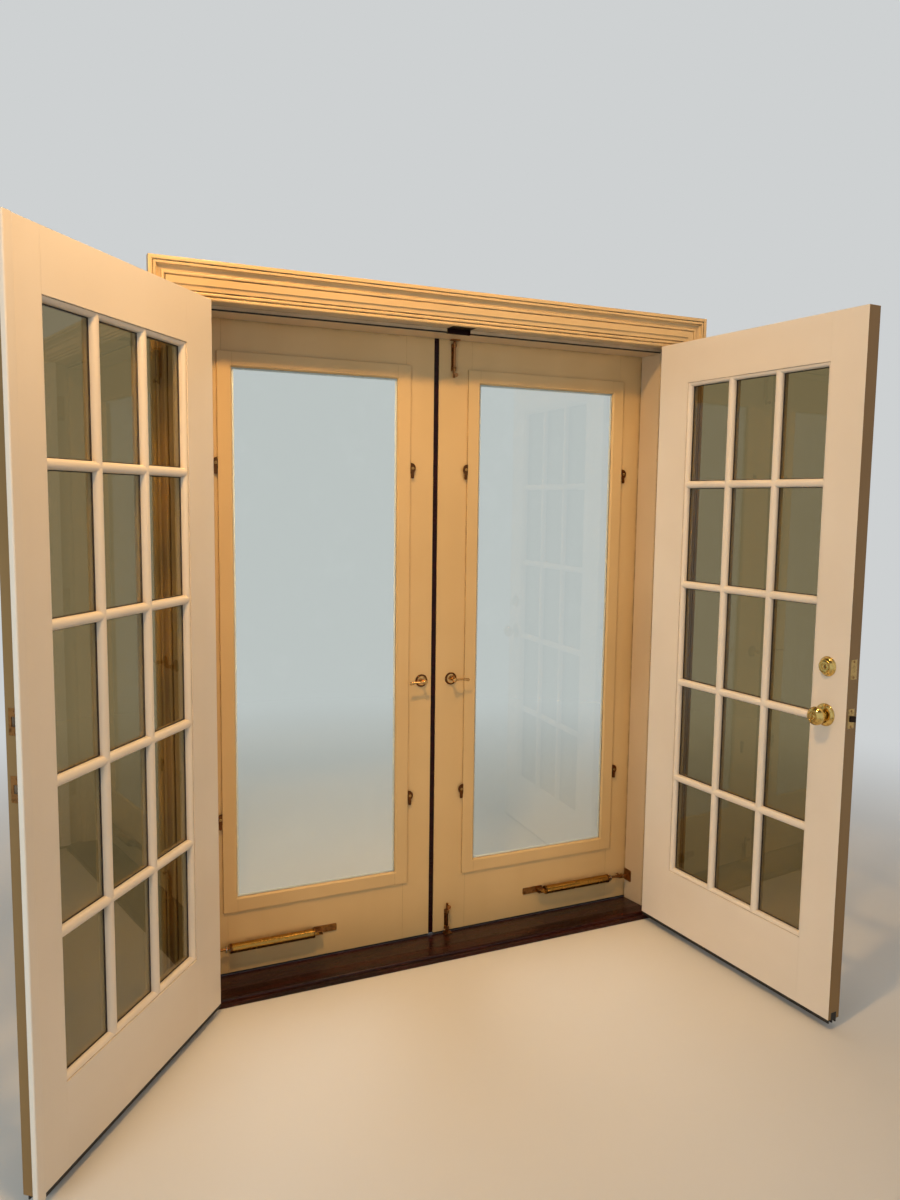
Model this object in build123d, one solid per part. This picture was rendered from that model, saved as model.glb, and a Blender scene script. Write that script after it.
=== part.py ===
from build123d import *
import math
import os

# A pair of fifteen-lite french doors that open into the room, hung in one frame with a pair of
# full-lite storm doors that open outward. The french doors stand open and the storm doors are shut.
# Millimetres, +X right seen from the room, +Y outward, +Z up. The origin is on the floor in the
# middle of the opening, in the plane of the frame's room side.

# Frame
half_opening = 816.0        # middle of the opening to the face that the hinges are let into
jamb_thickness = 30.0
jamb_depth = 155.0
stop_thickness = 13.0
stop_start = 50.0           # from the room side to the stop that the leaves shut against
head_height = 2067.0        # floor to the underside of the head above the leaves
stop_drop = 15.0
weatherstrip_depth = 4.0
weatherstrip_width = 4.5
cut_through = 400.0         # half the length of a cutting block, more than any section

# Casing round the room side
casing_width = 104.0
casing_reveal = 19.0
casing_head_gap = 2.0       # over the top of the leaves
backband_width = 13.0
backband_proud = 31.0

# Casing round the outside
outer_casing_width = 50.0
outer_casing_depth = 37.0
outer_casing_reveal = 15.0  # the part of the jamb's edge that the storm doors shut against

# Sill
sill_height = 21.0
sill_flat = 52.0
sill_depth = 215.0
sill_nose = 6.0
sill_slope_end = 6.0        # thickness left at the outer edge
nosing_depth = 14.0
nosing_height = 13.0

# French door leaves
hinge_gap = 2.0
top_gap = 3.0
leaf_bottom = 32.0
leaf_thickness = 44.5
hinge_stile = 134.0
latch_stile = 94.0          # of the left leaf
passive_edge = -14.0        # the meeting edges of the left leaf and of the right one, shut
active_edge = -9.0
top_rail = 136.0
bottom_rail = 202.0
open_left = 128.6           # how far each leaf stands open
open_right = 94.0

# Lites
columns = 3
rows = 5
bar_width = 24.0
sticking_radius = 11.3
grille_inset = 3.0          # the bars lie this far behind the leaf's faces
pane_thickness = 5.0
pane_front = 25.0           # from the room side to the outer face of the panes
rebate = 6.0                # how far the panes lap on the bars
pane_play = 1.0
bead_round = 4.5

# Bottom seal of a leaf
sweep_width = 22.0
sweep_groove = 20.0
sweep_drop = 10.8
sweep_inset = 1.0           # the outermost fin lies this far behind the leaf's outer face
fin_count = 3
fin_thickness = 3.5

# Hinges of the leaves
hinge_height = 102.0
plate_thickness = 3.0
plate_reach = 32.0
knuckle_radius = 6.5
pin_radius = 3.5
pin_play = 0.05
knuckle_gap = 0.3
pivot_out = 7.0             # the pin stands this far into the room
top_hinge_drop = 178.0
bottom_hinge_rise = 252.0
finial_height = 4.0

# Lock
backset = 70.0
knob_height = 926.0
deadbolt_rise = 141.0       # above the knob
cross_bore = 27.0
edge_bore = 12.7
case_radius = 12.6
plate_height = 57.0
plate_width = 25.4
lock_plate = 2.5
latch_size = (13.0, 16.0)
deadbolt_size = (12.5, 18.5)
latch_throw = 11.5
deadbolt_throw = 25.0
bolt_play = 0.2
rose_radius = 33.0
rose_depth = 9.0
knob_reach = 58.0
knob_clear = 1.0            # a knob's neck starts this far off the leaf
knob_radius = 27.0
neck_radius = 12.0
spindle_side = 8.0
cylinder_rose_radius = 29.0
cylinder_rose_depth = 15.0
cylinder_radius = 16.0
turn_length = 36.0
turn_shaft = 6.0
turn_plate_depth = 6.0

# Astragal on the left leaf
astragal_width = 28.0
astragal_depth = 12.0
stem_thickness = 2.5
astragal_gap = 0.7          # between its cap and the outer faces of the leaves
astragal_bottom = 34.0
astragal_drop = 4.0         # from the top of the leaf
notch_side = 24.0           # the notch for it in the head's stop, left and right of the middle
notch_other_side = 58.0
notch_play = 3.0
strike_inset = 6.0          # from the room side to the plate in the notch
strike_thickness = 2.0
slide_bolt_radius = 3.5
slide_bolt_length = 180.0
slide_bolt_play = 0.06
bolt_hole_play = 1.2        # round a slide bolt in the head and the sill
tab_inset = 40.0            # from a slide bolt's inner end to its tab
head_bolt_throw = 15.0
sill_bolt_throw = 20.0
tab_height = 12.0
tab_width = 4.0

# Storm doors
storm_thickness = 32.0
storm_gap = 3.0             # to the jamb and to the outer casing
storm_bottom = 18.0
storm_top_lap = 10.0        # over the underside of the head's stop
left_meeting = -20.0        # the meeting edges of the two storm doors
right_meeting = -2.0
strip_play = 1.2
insert_near = 104.0         # middle of the opening to the near edge of a glazed insert
storm_stile = 88.0          # a storm door's hinge edge to its insert
storm_top_rail = 103.0
storm_bottom_rail = 201.0
insert_member = 45.0
insert_thickness = 20.0
insert_proud = 6.0
insert_lip = 14.0
insert_bevel = 5.0
storm_pane = 4.0
strip_inset = 4.0           # the meeting strip lies this far behind the storm doors' room face

# Storm door hinges
storm_pivot_out = 6.5       # the pin stands this far outside the storm door's outer face
storm_pivot_lap = 1.0       # and this far past the face that the leaf hinges are let into
storm_knuckle = 5.0
storm_pin = 2.5
storm_hinge_height = 89.0
storm_plate = 2.0
storm_plate_reach = 24.0
storm_hinge_clear = 0.4
storm_hinge_inset = 232.0   # from the ends of the door to the outer hinges' middles

# Storm door levers
lever_height = 919.0
left_lever_side = -55.9
right_lever_side = 53.6
lever_rose_radius = 20.0
lever_rose_depth = 6.0
lever_reach = 40.0
lever_length = 56.0
hub_radius = 7.5
lever_thickness = 8.0
storm_latch_size = (9.0, 13.0)
storm_latch_throw = 9.0

# Turn buttons that hold the inserts
button_radius = 17.5
button_thickness = 3.0
button_gap = 0.5            # from a button's straight side to the insert's edge
button_pivot = 6.5          # from its straight side to its screw
button_tail = 33.0
tail_width = 10.0
boss_radius = 5.0
button_play = 0.3
low_button_rise = 307.0     # above the foot of the insert
high_button_drop = 330.0    # below its top

# Surface bolts on the right storm door
surface_bolt_side = 48.0
surface_bolt_out = 9.0      # the bolt's line stands this far off the storm door's room face
surface_bolt_radius = 4.0
surface_bolt_length = 118.0
low_bolt_top = 120.0
guide_height = 12.0
guide_width = 16.0
strap_width = 12.0
guide_overrun = 7.0         # the bolt sticks out of its guides by this much at the keeper's end
knob_overrun = 23.0         # and by this much at the end with the knob
hook_inset = 8.0
keeper_height = 4.0
keeper_width = 28.0
keeper_depth = 22.0
keeper_hole_play = 0.6

# Door closers
closer_height = 107.0
closer_out = 20.0           # the tube's line stands this far off the storm door's room face
jamb_pin_inset = 42.0       # from the face that the leaf hinges are let into
closer_length = 349.0       # between the pins, storm door shut
tube_radius = 15.0
tube_wall = 1.6
tube_offset = 12.0          # from the door's pin to the tube
rod_shown = 61.0            # from the tube to the jamb's pin, storm door shut
end_cap = 8.0
rod_travel = 94.0           # how far the rod comes out while the storm door opens
closer_rod = 4.0
washer_radius = 11.0
washer_inset = 10.0         # from the tube's end to the washer that holds the door open
tang_thickness = 6.0
lug_thickness = 3.0
lug_gap = 0.3
closer_pin = 2.5
pin_half_height = 9.0
eye_reach = 20.0            # from the rod's end to its pin
bracket_length = 80.0
bracket_height = 24.0

# Worked out from the sizes above
leaf_edge = half_opening - hinge_gap
leaf_top = head_height - top_gap
grid_bottom = leaf_bottom + bottom_rail
grid_top = leaf_top - top_rail
grid_height = grid_top - grid_bottom
stop_face = half_opening - stop_thickness
soffit = head_height - stop_drop
pivot_side = half_opening - hinge_gap / 2
casing_inner = half_opening + casing_reveal
casing_under = leaf_top + casing_head_gap
frame_side = half_opening + jamb_thickness
frame_top = head_height + jamb_thickness
passive_width = leaf_edge + passive_edge
active_width = leaf_edge - active_edge
grid_width = passive_width - hinge_stile - latch_stile
deadbolt_height = knob_height + deadbolt_rise
astragal_top = leaf_top - astragal_drop
lock_side = active_edge + backset
bolt_middle = leaf_thickness / 2
stem_face = passive_edge + stem_thickness
cap_start = leaf_thickness + astragal_gap
cap_end = cap_start + astragal_depth
cap_middle = (cap_start + cap_end) / 2
notch_end = cap_end + notch_play
bolt_hole_radius = slide_bolt_radius + bolt_hole_play
storm_face = jamb_depth + storm_gap
storm_back = storm_face + storm_thickness
storm_pivot_y = storm_back + storm_pivot_out
outer_casing_inner = stop_face + outer_casing_reveal
storm_edge = outer_casing_inner - storm_gap
storm_pivot_side = half_opening + storm_pivot_lap
storm_top = soffit + storm_top_lap
insert_face = storm_face - insert_proud
insert_far = storm_edge - storm_stile
insert_bottom = storm_bottom + storm_bottom_rail
insert_top = storm_top - storm_top_rail
jamb_pin = half_opening - jamb_pin_inset
door_pin = jamb_pin - closer_length
tube_start = door_pin + tube_offset
tube_end = jamb_pin - rod_shown
closer_line = storm_face - closer_out
surface_bolt_y = storm_face - surface_bolt_out
keeper_hole = surface_bolt_radius + keeper_hole_play
piston_inset = rod_travel + end_cap + 4
left, right = -1, 1


def block(x0, x1, y0, y1, z0, z1):
    """A box between two corners, given in any order along X."""
    corner = Pos(min(x0, x1), y0, z0)
    return corner * Box(abs(x1 - x0), y1 - y0, z1 - z0, align=(Align.MIN, Align.MIN, Align.MIN))


def upright(x, y, z0, z1, radius):
    return Pos(x, y, z0) * Cylinder(radius, z1 - z0, align=(Align.CENTER, Align.CENTER, Align.MIN))


def outward(x, z, y0, y1, radius):
    disc = Cylinder(radius, y1 - y0, align=(Align.CENTER, Align.CENTER, Align.MIN))
    return Pos(x, y0, z) * Rot(-90, 0, 0) * disc


def sideways(y, z, x0, x1, radius):
    disc = Cylinder(radius, abs(x1 - x0), align=(Align.CENTER, Align.CENTER, Align.MIN))
    return Pos(min(x0, x1), y, z) * Rot(0, 90, 0) * disc


def flat_plate(outline, y0, y1):
    """An outline of (x, z) points made into a plate from y0 to y1."""
    face = make_face(Polyline([(x, 0, z) for x, z in outline], close=True))
    return Pos(0, y0, 0) * extrude(face, y1 - y0, dir=(0, 1, 0))


def turned(outline, x, z, y, direction):
    """A turned piece: (radius, reach) points spun about a line along Y that starts at y."""
    face = make_face(Polyline([(radius, 0, reach) for radius, reach in outline], close=True))
    return Pos(x, y, z) * Rot(-90 * direction, 0, 0) * revolve(face, Axis.Z)


def mirrored(shape):
    return mirror(shape, about=Plane.YZ)


def solids_of(shape):
    return list(shape.solids())


def save(name, *shapes):
    solids = [solid for shape in shapes for solid in solids_of(shape)]
    export_step(Compound(children=solids) if len(solids) > 1 else solids[0], f"parts/{name}.step")


def swung(shape, hand):
    """A piece of a french door leaf, turned from shut to where the leaf stands open."""
    angle = -open_left if hand == left else open_right
    pin = Axis((hand * pivot_side, -pivot_out, 0), (0, 0, 1))
    return shape.rotate(pin, angle)


# Frame

def jamb(hand):
    board = block(half_opening, frame_side, 0, jamb_depth, 0, frame_top)
    stop = block(stop_face, half_opening, stop_start, jamb_depth, 0, frame_top)
    body = board + stop
    if hand == left:
        body = mirrored(body)
    for z in hinge_heights():
        body -= block(
            hand * half_opening, hand * (half_opening + plate_thickness),
            0, plate_reach, z - hinge_height / 2, z + hinge_height / 2,
        )
    return body - sill_board()


def head():
    board = block(-half_opening, half_opening, 0, stop_start, head_height, frame_top)
    stop = block(-stop_face, stop_face, stop_start, jamb_depth, soffit, frame_top)
    notch = block(-notch_side, notch_other_side, stop_start, notch_end, soffit, head_height)
    bolt_hole = upright(0, cap_middle, head_height, head_height + 22, bolt_hole_radius)
    storm_hole = upright(surface_bolt_side, surface_bolt_y, soffit, soffit + 10, keeper_hole)
    return board + stop - notch - head_strike_bed() - bolt_hole - storm_hole


def head_strike_bed():
    return block(
        -notch_side, notch_other_side, strike_inset, notch_end,
        head_height, head_height + strike_thickness,
    )


def head_strike():
    hole = upright(0, cap_middle, head_height, head_height + strike_thickness, bolt_hole_radius)
    return head_strike_bed() - hole


def sill_section(start):
    """The sill's section seen along X, from the depth start outward."""
    top_start = (sill_nose, sill_height)
    with BuildSketch(Plane.YZ) as section:
        with BuildLine():
            Line((-2, 0), (-2, sill_height - sill_nose))
            RadiusArc((-2, sill_height - sill_nose), top_start, sill_nose + 2)
            Polyline(
                top_start, (sill_flat, sill_height), (sill_flat + 20, sill_height - 2),
                (sill_depth, sill_slope_end), (sill_depth, 0), (-2, 0),
            )
        make_face()
        if start > -2:
            with Locations(((start - 2) / 2, sill_height / 2)):
                Rectangle(start + 2, sill_height * 2, mode=Mode.SUBTRACT)
    return section.sketch


def sill_board():
    """One board: narrow between the casing legs, wider under the jambs and widest outside."""
    spans = ((-2, casing_inner - 1), (0, frame_side), (jamb_depth, outer_casing_inner + outer_casing_width))
    board = None
    for start, side in spans:
        piece = extrude(sill_section(start), side, both=True)
        board = piece if board is None else board + piece
    bolt_hole = upright(0, cap_middle, 5, sill_height + 1, bolt_hole_radius)
    return board - bolt_hole - upright(surface_bolt_side, surface_bolt_y, 3, sill_height, keeper_hole)


def nosing():
    """The rounded strip on the floor along the room side of the sill."""
    with BuildSketch(Plane.YZ) as section:
        with Locations((-2 - nosing_depth / 2, nosing_height / 2)):
            Rectangle(nosing_depth, nosing_height)
        top_edge = section.vertices().filter_by_position(Axis.Z, 1, nosing_height + 1)
        fillet(top_edge.sort_by(Axis.Y)[0:1], nosing_depth * 0.45)
    return extrude(section.sketch, casing_inner - 1, both=True)


def weatherstrips():
    """Bulb seals in the corner of the stops, left, right and over the head."""
    front = stop_start - weatherstrip_depth
    rounding = weatherstrip_depth * 0.45
    side = block(
        stop_face, stop_face + weatherstrip_width, front, stop_start,
        sill_height, soffit + weatherstrip_width,
    )
    side = fillet(side.edges().filter_by(Axis.Z).group_by(Axis.Y)[0], rounding)
    pieces = [side, mirrored(side)]
    for x0, x1 in ((-stop_face, -notch_side), (notch_other_side, stop_face)):
        strip = block(x0, x1, front, stop_start, soffit, soffit + weatherstrip_width)
        strip = fillet(strip.edges().filter_by(Axis.X).group_by(Axis.Y)[0], rounding)
        pieces.append(strip)
    return pieces


# Casings

def casing_section():
    """Section of the room-side casing: x from the opening outward, y from the wall into the room."""
    width = casing_width
    band = width - backband_width
    proud = backband_proud
    with BuildSketch() as section:
        with BuildLine():
            Line((0, 0), (0, 8))
            SagittaArc((0, 8), (7, 10), 2.2)
            Polyline((7, 10), (8, 6), (10.5, 6), (11.5, 10), (band - 61, 11), (band - 60, 14.5), (band - 48, 15))
            Polyline((band - 48, 15), (band - 47, 12), (band - 45, 12), (band - 44.5, 17.5), (band - 27, 18))
            Polyline((band - 27, 18), (band - 26, 14), (band - 23.5, 14), (band - 23, 18.5), (band - 20, 19))
            SagittaArc((band - 20, 19), (band - 7, 27), -3.6)
            SagittaArc((band - 7, 27), (band - 2.2, 27), 1.8)
            Polyline((band - 2.2, 27), (band - 1.8, 21), (band, 21), (band, proud - 2))
            SagittaArc((band, proud - 2), (band + 3, proud), 0.9)
            Line((band + 3, proud), (width - 3, proud))
            SagittaArc((width - 3, proud), (width, proud - 3), 0.9)
            Polyline((width, proud - 3), (width, 0), (0, 0))
        make_face()
    return section.sketch


def mitred_trim(section, inner_side, under, bottom, thickness):
    """Two legs and a head of one section round an opening, cut at 45 degrees where they meet."""
    height = under + thickness
    upright_plane = Plane(origin=(inner_side, 0, bottom), x_dir=(1, 0, 0), z_dir=(0, 0, 1))
    facing_room = mirror(section, about=Plane.XZ)
    leg = extrude(upright_plane * facing_room, height - bottom, dir=(0, 0, 1))
    head_plane = Plane(origin=(-inner_side - thickness, 0, under), x_dir=(0, 0, 1), z_dir=(-1, 0, 0))
    length = 2 * (inner_side + thickness)
    bar = extrude(head_plane * facing_room, length, dir=(1, 0, 0))
    reach = thickness + 1
    corner = [
        (inner_side - 1, under - 1), (inner_side + reach, under + reach), (inner_side - 1, under + reach),
    ]
    leg = leg - flat_plate(corner, -cut_through, cut_through)
    keep = flat_plate(
        [
            (-inner_side, under), (inner_side, under),
            (inner_side + reach, under + reach), (-inner_side - reach, under + reach),
        ],
        -cut_through, cut_through,
    )
    return [leg, mirrored(leg), bar & keep]


def interior_casing():
    return mitred_trim(casing_section(), casing_inner, casing_under, 0, casing_width)


def exterior_casing():
    width, depth = outer_casing_width, outer_casing_depth
    with BuildSketch() as section:
        with BuildLine():
            Polyline((0, 0), (0, -depth + 6), (4, -depth + 6), (4, -depth))
            Line((4, -depth), (width - 12, -depth))
            SagittaArc((width - 12, -depth), (width, -depth + 12), 2.5)
            Polyline((width, -depth + 12), (width, 0), (0, 0))
        make_face()
    under = soffit + outer_casing_reveal - 2
    pieces = mitred_trim(section.sketch, outer_casing_inner, under, 0, width)
    board = sill_board()
    moved = [Pos(0, jamb_depth, 0) * piece for piece in pieces]
    return [moved[0] - board, moved[1] - board, moved[2]]


# Leaves

def hinge_heights():
    low = leaf_bottom + bottom_hinge_rise
    high = leaf_top - top_hinge_drop
    return (low, (low + high) / 2, high)


def across(hand, from_hinge):
    """The x of a place on a shut leaf, given its distance from the leaf's hinge edge."""
    return hand * (leaf_edge - from_hinge)


def leaf_block(hand, u0, u1, y0, y1, z0, z1):
    return block(across(hand, u0), across(hand, u1), y0, y1, z0, z1)


def leaf_width(hand):
    return passive_width if hand == left else active_width


def sweep_channel(hand):
    y0 = (leaf_thickness - sweep_width) / 2
    return leaf_block(
        hand, -1, leaf_width(hand) + 1, y0, y0 + sweep_width, leaf_bottom - 1, leaf_bottom + sweep_groove,
    )


def hinge_side_stile(hand):
    board = leaf_block(hand, 0, hinge_stile, 0, leaf_thickness, leaf_bottom, leaf_top)
    for z in hinge_heights():
        board -= leaf_block(
            hand, 0, plate_thickness, 0, plate_reach, z - hinge_height / 2, z + hinge_height / 2,
        )
    return board - sweep_channel(hand)


def latch_side_stile(hand):
    start = hinge_stile + grid_width
    board = leaf_block(hand, start, leaf_width(hand), 0, leaf_thickness, leaf_bottom, leaf_top)
    board -= sweep_channel(hand)
    if hand == left:
        for z, size, throw in lock_bolts():
            deep = passive_edge - (throw - (passive_edge - active_edge)) - 3
            board -= block(
                deep, passive_edge, bolt_middle - size[0] / 2 - 2, bolt_middle + size[0] / 2 + 2,
                z - size[1] / 2 - 3, z + size[1] / 2 + 3,
            )
        return board
    for z, size, throw in lock_bolts():
        board -= faceplate_bed(z)
        board -= sideways(bolt_middle, z, active_edge, lock_side, edge_bore)
        board -= outward(lock_side, z, 0, leaf_thickness, cross_bore)
    return board


def lock_bolts():
    """Height, size and throw of the latch and the deadbolt."""
    return (
        (knob_height, latch_size, latch_throw + 1),
        (deadbolt_height, deadbolt_size, deadbolt_throw + 1),
    )


def faceplate_bed(z):
    return block(
        active_edge, active_edge + lock_plate, bolt_middle - plate_width / 2, bolt_middle + plate_width / 2,
        z - plate_height / 2, z + plate_height / 2,
    )


def rails(hand):
    start, end = hinge_stile, hinge_stile + grid_width
    top = leaf_block(hand, start, end, 0, leaf_thickness, grid_top, leaf_top)
    bottom = leaf_block(hand, start, end, 0, leaf_thickness, leaf_bottom, grid_bottom)
    return [top, bottom - sweep_channel(hand)]


def lite_size():
    return grid_width / columns - bar_width, grid_height / rows - bar_width


def lite_places(hand):
    """The middles of the lites, row by row."""
    places = []
    for row in range(rows):
        for column in range(columns):
            u = hinge_stile + (column + 0.5) * grid_width / columns
            z = grid_bottom + (row + 0.5) * grid_height / rows
            places.append((across(hand, u), z))
    return places


def lite_cutter():
    """What is cut out of the grille for one lite: daylight, rounded outer sticking, room-side rebate."""
    width, height = lite_size()
    outer_face = leaf_thickness - grille_inset
    daylight = block(-width / 2, width / 2, -1, outer_face, -height / 2, height / 2)
    margin = bar_width * 0.49
    over = block(
        -width / 2 - margin, width / 2 + margin, outer_face, outer_face + 5,
        -height / 2 - margin, height / 2 + margin,
    )
    tool = daylight + over

    def round_here(edge):
        middle = edge.center()
        on_face = abs(middle.Y - outer_face) < 0.01
        return on_face and abs(middle.X) < width / 2 + 0.1 and abs(middle.Z) < height / 2 + 0.1

    tool = fillet(tool.edges().filter_by(round_here), sticking_radius)
    pocket = block(
        -width / 2 - rebate, width / 2 + rebate, -1, pane_front,
        -height / 2 - rebate, height / 2 + rebate,
    )
    return tool + pocket


def grille(hand):
    """The grid of bars with the moulded edge round it, in one piece."""
    plate = leaf_block(
        hand, hinge_stile, hinge_stile + grid_width,
        grille_inset, leaf_thickness - grille_inset, grid_bottom, grid_top,
    )
    tool = lite_cutter()
    return plate - [Pos(x, 0, z) * tool for x, z in lite_places(hand)]


def panes(hand):
    width, height = lite_size()
    lap = rebate - pane_play
    pane = block(
        -width / 2 - lap, width / 2 + lap, pane_front - pane_thickness, pane_front,
        -height / 2 - lap, height / 2 + lap,
    )
    return [Pos(x, 0, z) * pane for x, z in lite_places(hand)]


def glazing_beads(hand):
    width, height = lite_size()
    back = pane_front - pane_thickness
    outer = block(
        -width / 2 - rebate, width / 2 + rebate, grille_inset, back,
        -height / 2 - rebate, height / 2 + rebate,
    )
    ring = outer - block(-width / 2, width / 2, 0, back + 1, -height / 2, height / 2)

    def inner_front(edge):
        middle = edge.center()
        on_face = abs(middle.Y - grille_inset) < 0.01
        return on_face and abs(middle.X) < width / 2 + 0.1 and abs(middle.Z) < height / 2 + 0.1

    ring = fillet(ring.edges().filter_by(inner_front), bead_round)
    return [Pos(x, 0, z) * ring for x, z in lite_places(hand)]


def sweep(hand):
    """The seal in the groove under a leaf: a carrier, a flange out to the leaf's face and fins."""
    y0 = (leaf_thickness - sweep_width) / 2
    y1 = leaf_thickness - sweep_inset
    width = leaf_width(hand)
    seal = leaf_block(hand, 0, width, y0, y0 + sweep_width, leaf_bottom, leaf_bottom + sweep_groove)
    seal += leaf_block(hand, 0, width, y0, y1, leaf_bottom - fin_thickness, leaf_bottom)
    step = (y1 - y0 - fin_thickness) / (fin_count - 1)
    for number in range(fin_count):
        y = y0 + number * step
        seal += leaf_block(hand, 0, width, y, y + fin_thickness, leaf_bottom - sweep_drop, leaf_bottom)
    return seal


# Hinges

def knuckles(side, pivot_y, z, radius, height, bore):
    """Three knuckles on one line: low, middle and high."""
    third = height / 3
    made = []
    for number in range(3):
        low = z - height / 2 + number * third + (knuckle_gap / 2 if number else 0)
        high = z - height / 2 + (number + 1) * third - (knuckle_gap / 2 if number < 2 else 0)
        made.append(upright(side, pivot_y, low, high, radius) - upright(side, pivot_y, low, high, bore))
    return made


def leaf_hinge(hand, z):
    """One hinge of a leaf, shut: what is on the jamb, what is on the leaf, and the pin."""
    bore = pin_radius + pin_play
    low, middle, high = knuckles(hand * pivot_side, -pivot_out, z, knuckle_radius, hinge_height, bore)
    third = hinge_height / 3
    bottom, top = z - hinge_height / 2, z + hinge_height / 2
    on_jamb = block(
        hand * half_opening, hand * (half_opening + plate_thickness), 0, plate_reach, bottom, top,
    )
    for z0, z1 in ((bottom, bottom + third - knuckle_gap / 2), (top - third + knuckle_gap / 2, top)):
        on_jamb += block(hand * half_opening, hand * (half_opening + plate_thickness), -pivot_out, 0, z0, z1)
    on_jamb += [low, high]
    on_leaf = leaf_block(hand, 0, plate_thickness, 0, plate_reach, bottom, top)
    z0, z1 = bottom + third + knuckle_gap / 2, top - third - knuckle_gap / 2
    on_leaf += leaf_block(hand, 0, plate_thickness, -pivot_out, 0, z0, z1)
    on_leaf += middle
    clear = upright(hand * pivot_side, -pivot_out, bottom - 1, top + 1, bore)
    pin = upright(hand * pivot_side, -pivot_out, bottom, top, pin_radius)
    for end in (bottom - finial_height, top):
        pin += upright(hand * pivot_side, -pivot_out, end, end + finial_height, knuckle_radius - 1)
    return on_jamb - clear, on_leaf - clear, pin


def storm_hinge(hand, z):
    """One hinge of a storm door: the jamb's part with its pin, and the door's part."""
    x, y = hand * storm_pivot_side, storm_pivot_y
    bore = storm_pin + pin_play
    low, middle, high = knuckles(x, y, z, storm_knuckle, storm_hinge_height, bore)
    bottom, top = z - storm_hinge_height / 2, z + storm_hinge_height / 2
    pin = upright(x, y, bottom, top, storm_pin)
    casing_face = jamb_depth + outer_casing_depth
    on_jamb = block(
        x, hand * (outer_casing_inner + storm_plate_reach),
        casing_face, casing_face + storm_plate, bottom, top,
    )
    third = storm_hinge_height / 3
    gap = storm_hinge_clear
    on_jamb -= block(
        x - 9, x + 9, casing_face - 1, casing_face + storm_plate + 1,
        bottom + third - gap, top - third + gap,
    )
    for piece in (low, high):
        on_jamb += piece
    on_jamb += pin
    on_door = block(
        hand * (storm_edge - storm_plate_reach), x, storm_back, storm_back + storm_plate,
        bottom, top,
    )
    for z0, z1 in ((bottom, bottom + third + gap), (top - third - gap, top)):
        on_door -= block(x - 9, x + 9, storm_back - 1, storm_back + storm_plate + 1, z0 - 1, z1)
    on_door += middle
    return on_jamb, on_door - upright(x, y, bottom - 1, top + 1, bore)


# Lock of the right leaf

def rose(hand_y, hole):
    """The domed plate behind a knob. hand_y is -1 on the room side and 1 outside."""
    face = 0 if hand_y < 0 else leaf_thickness
    outline = [
        (hole, 0), (rose_radius, 0), (rose_radius, 2), (rose_radius - 3, 4.5),
        (rose_radius - 9, 7.5), (rose_radius - 15, rose_depth), (hole, rose_depth),
    ]
    return turned(outline, lock_side, knob_height, face, hand_y)


def knob(hand_y):
    """A round knob on its neck, with a flattened front and a small button in its middle."""
    start = knob_clear
    ball = knob_reach - knob_radius * 0.72
    profile = [
        (0, start), (neck_radius, start), (neck_radius, rose_depth + 5), (neck_radius - 1.5, rose_depth + 8),
        (neck_radius - 1.5, ball - knob_radius * 0.72),
    ]
    for step in range(9):
        angle = math.radians(-44 + step * 13)
        profile.append((knob_radius * math.cos(angle), ball + knob_radius * math.sin(angle) * 0.8))
    front = profile[-1][1]
    profile += [(knob_radius * 0.32, front + 0.6), (knob_radius * 0.30, front - 1.5)]
    profile += [(6.5, front - 1.5), (6.5, knob_reach - 0.5), (5.5, knob_reach), (0, knob_reach)]
    face = 0 if hand_y < 0 else leaf_thickness
    return turned(profile, lock_side, knob_height, face, hand_y)


def spindle(grow=0.0):
    half = spindle_side / 2 + grow
    return block(
        lock_side - half, lock_side + half, -rose_depth - 6, leaf_thickness + 2,
        knob_height - half, knob_height + half,
    )


def lock_knobs():
    outside = knob(1) + spindle()
    inside = knob(-1) - spindle(0.1)
    return [outside, inside]


def lock_case(z, size):
    """The faceplate with the round case behind it and the channel that the bolt slides in."""
    case = faceplate_bed(z)
    case += sideways(bolt_middle, z, active_edge + lock_plate, lock_side - cross_bore + 10, case_radius)
    return case - bolt_bar(z, size, active_edge - 1, lock_side, bolt_play)


def bolt_bar(z, size, x0, x1, grow):
    thick, high = size
    return block(
        x0, x1, bolt_middle - thick / 2 - grow, bolt_middle + thick / 2 + grow,
        z - high / 2 - grow, z + high / 2 + grow,
    )


def latch_bolt():
    """The spring latch, with its slanted nose on the outer side."""
    nose = active_edge - latch_throw
    bar = bolt_bar(knob_height, latch_size, nose, lock_side - cross_bore + 8, 0)
    y = bolt_middle + latch_size[0] / 2
    slope = [(nose - 1, y + 1), (nose - 1, y - latch_size[0] * 0.75), (nose + latch_throw - 1, y + 1)]
    wedge_face = make_face(Polyline([(x, v, knob_height - 20) for x, v in slope], close=True))
    return bar - extrude(wedge_face, 40, dir=(0, 0, 1))


def deadbolt():
    bar = bolt_bar(deadbolt_height, deadbolt_size, active_edge, lock_side - cross_bore + 8, 0)
    return bar


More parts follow.
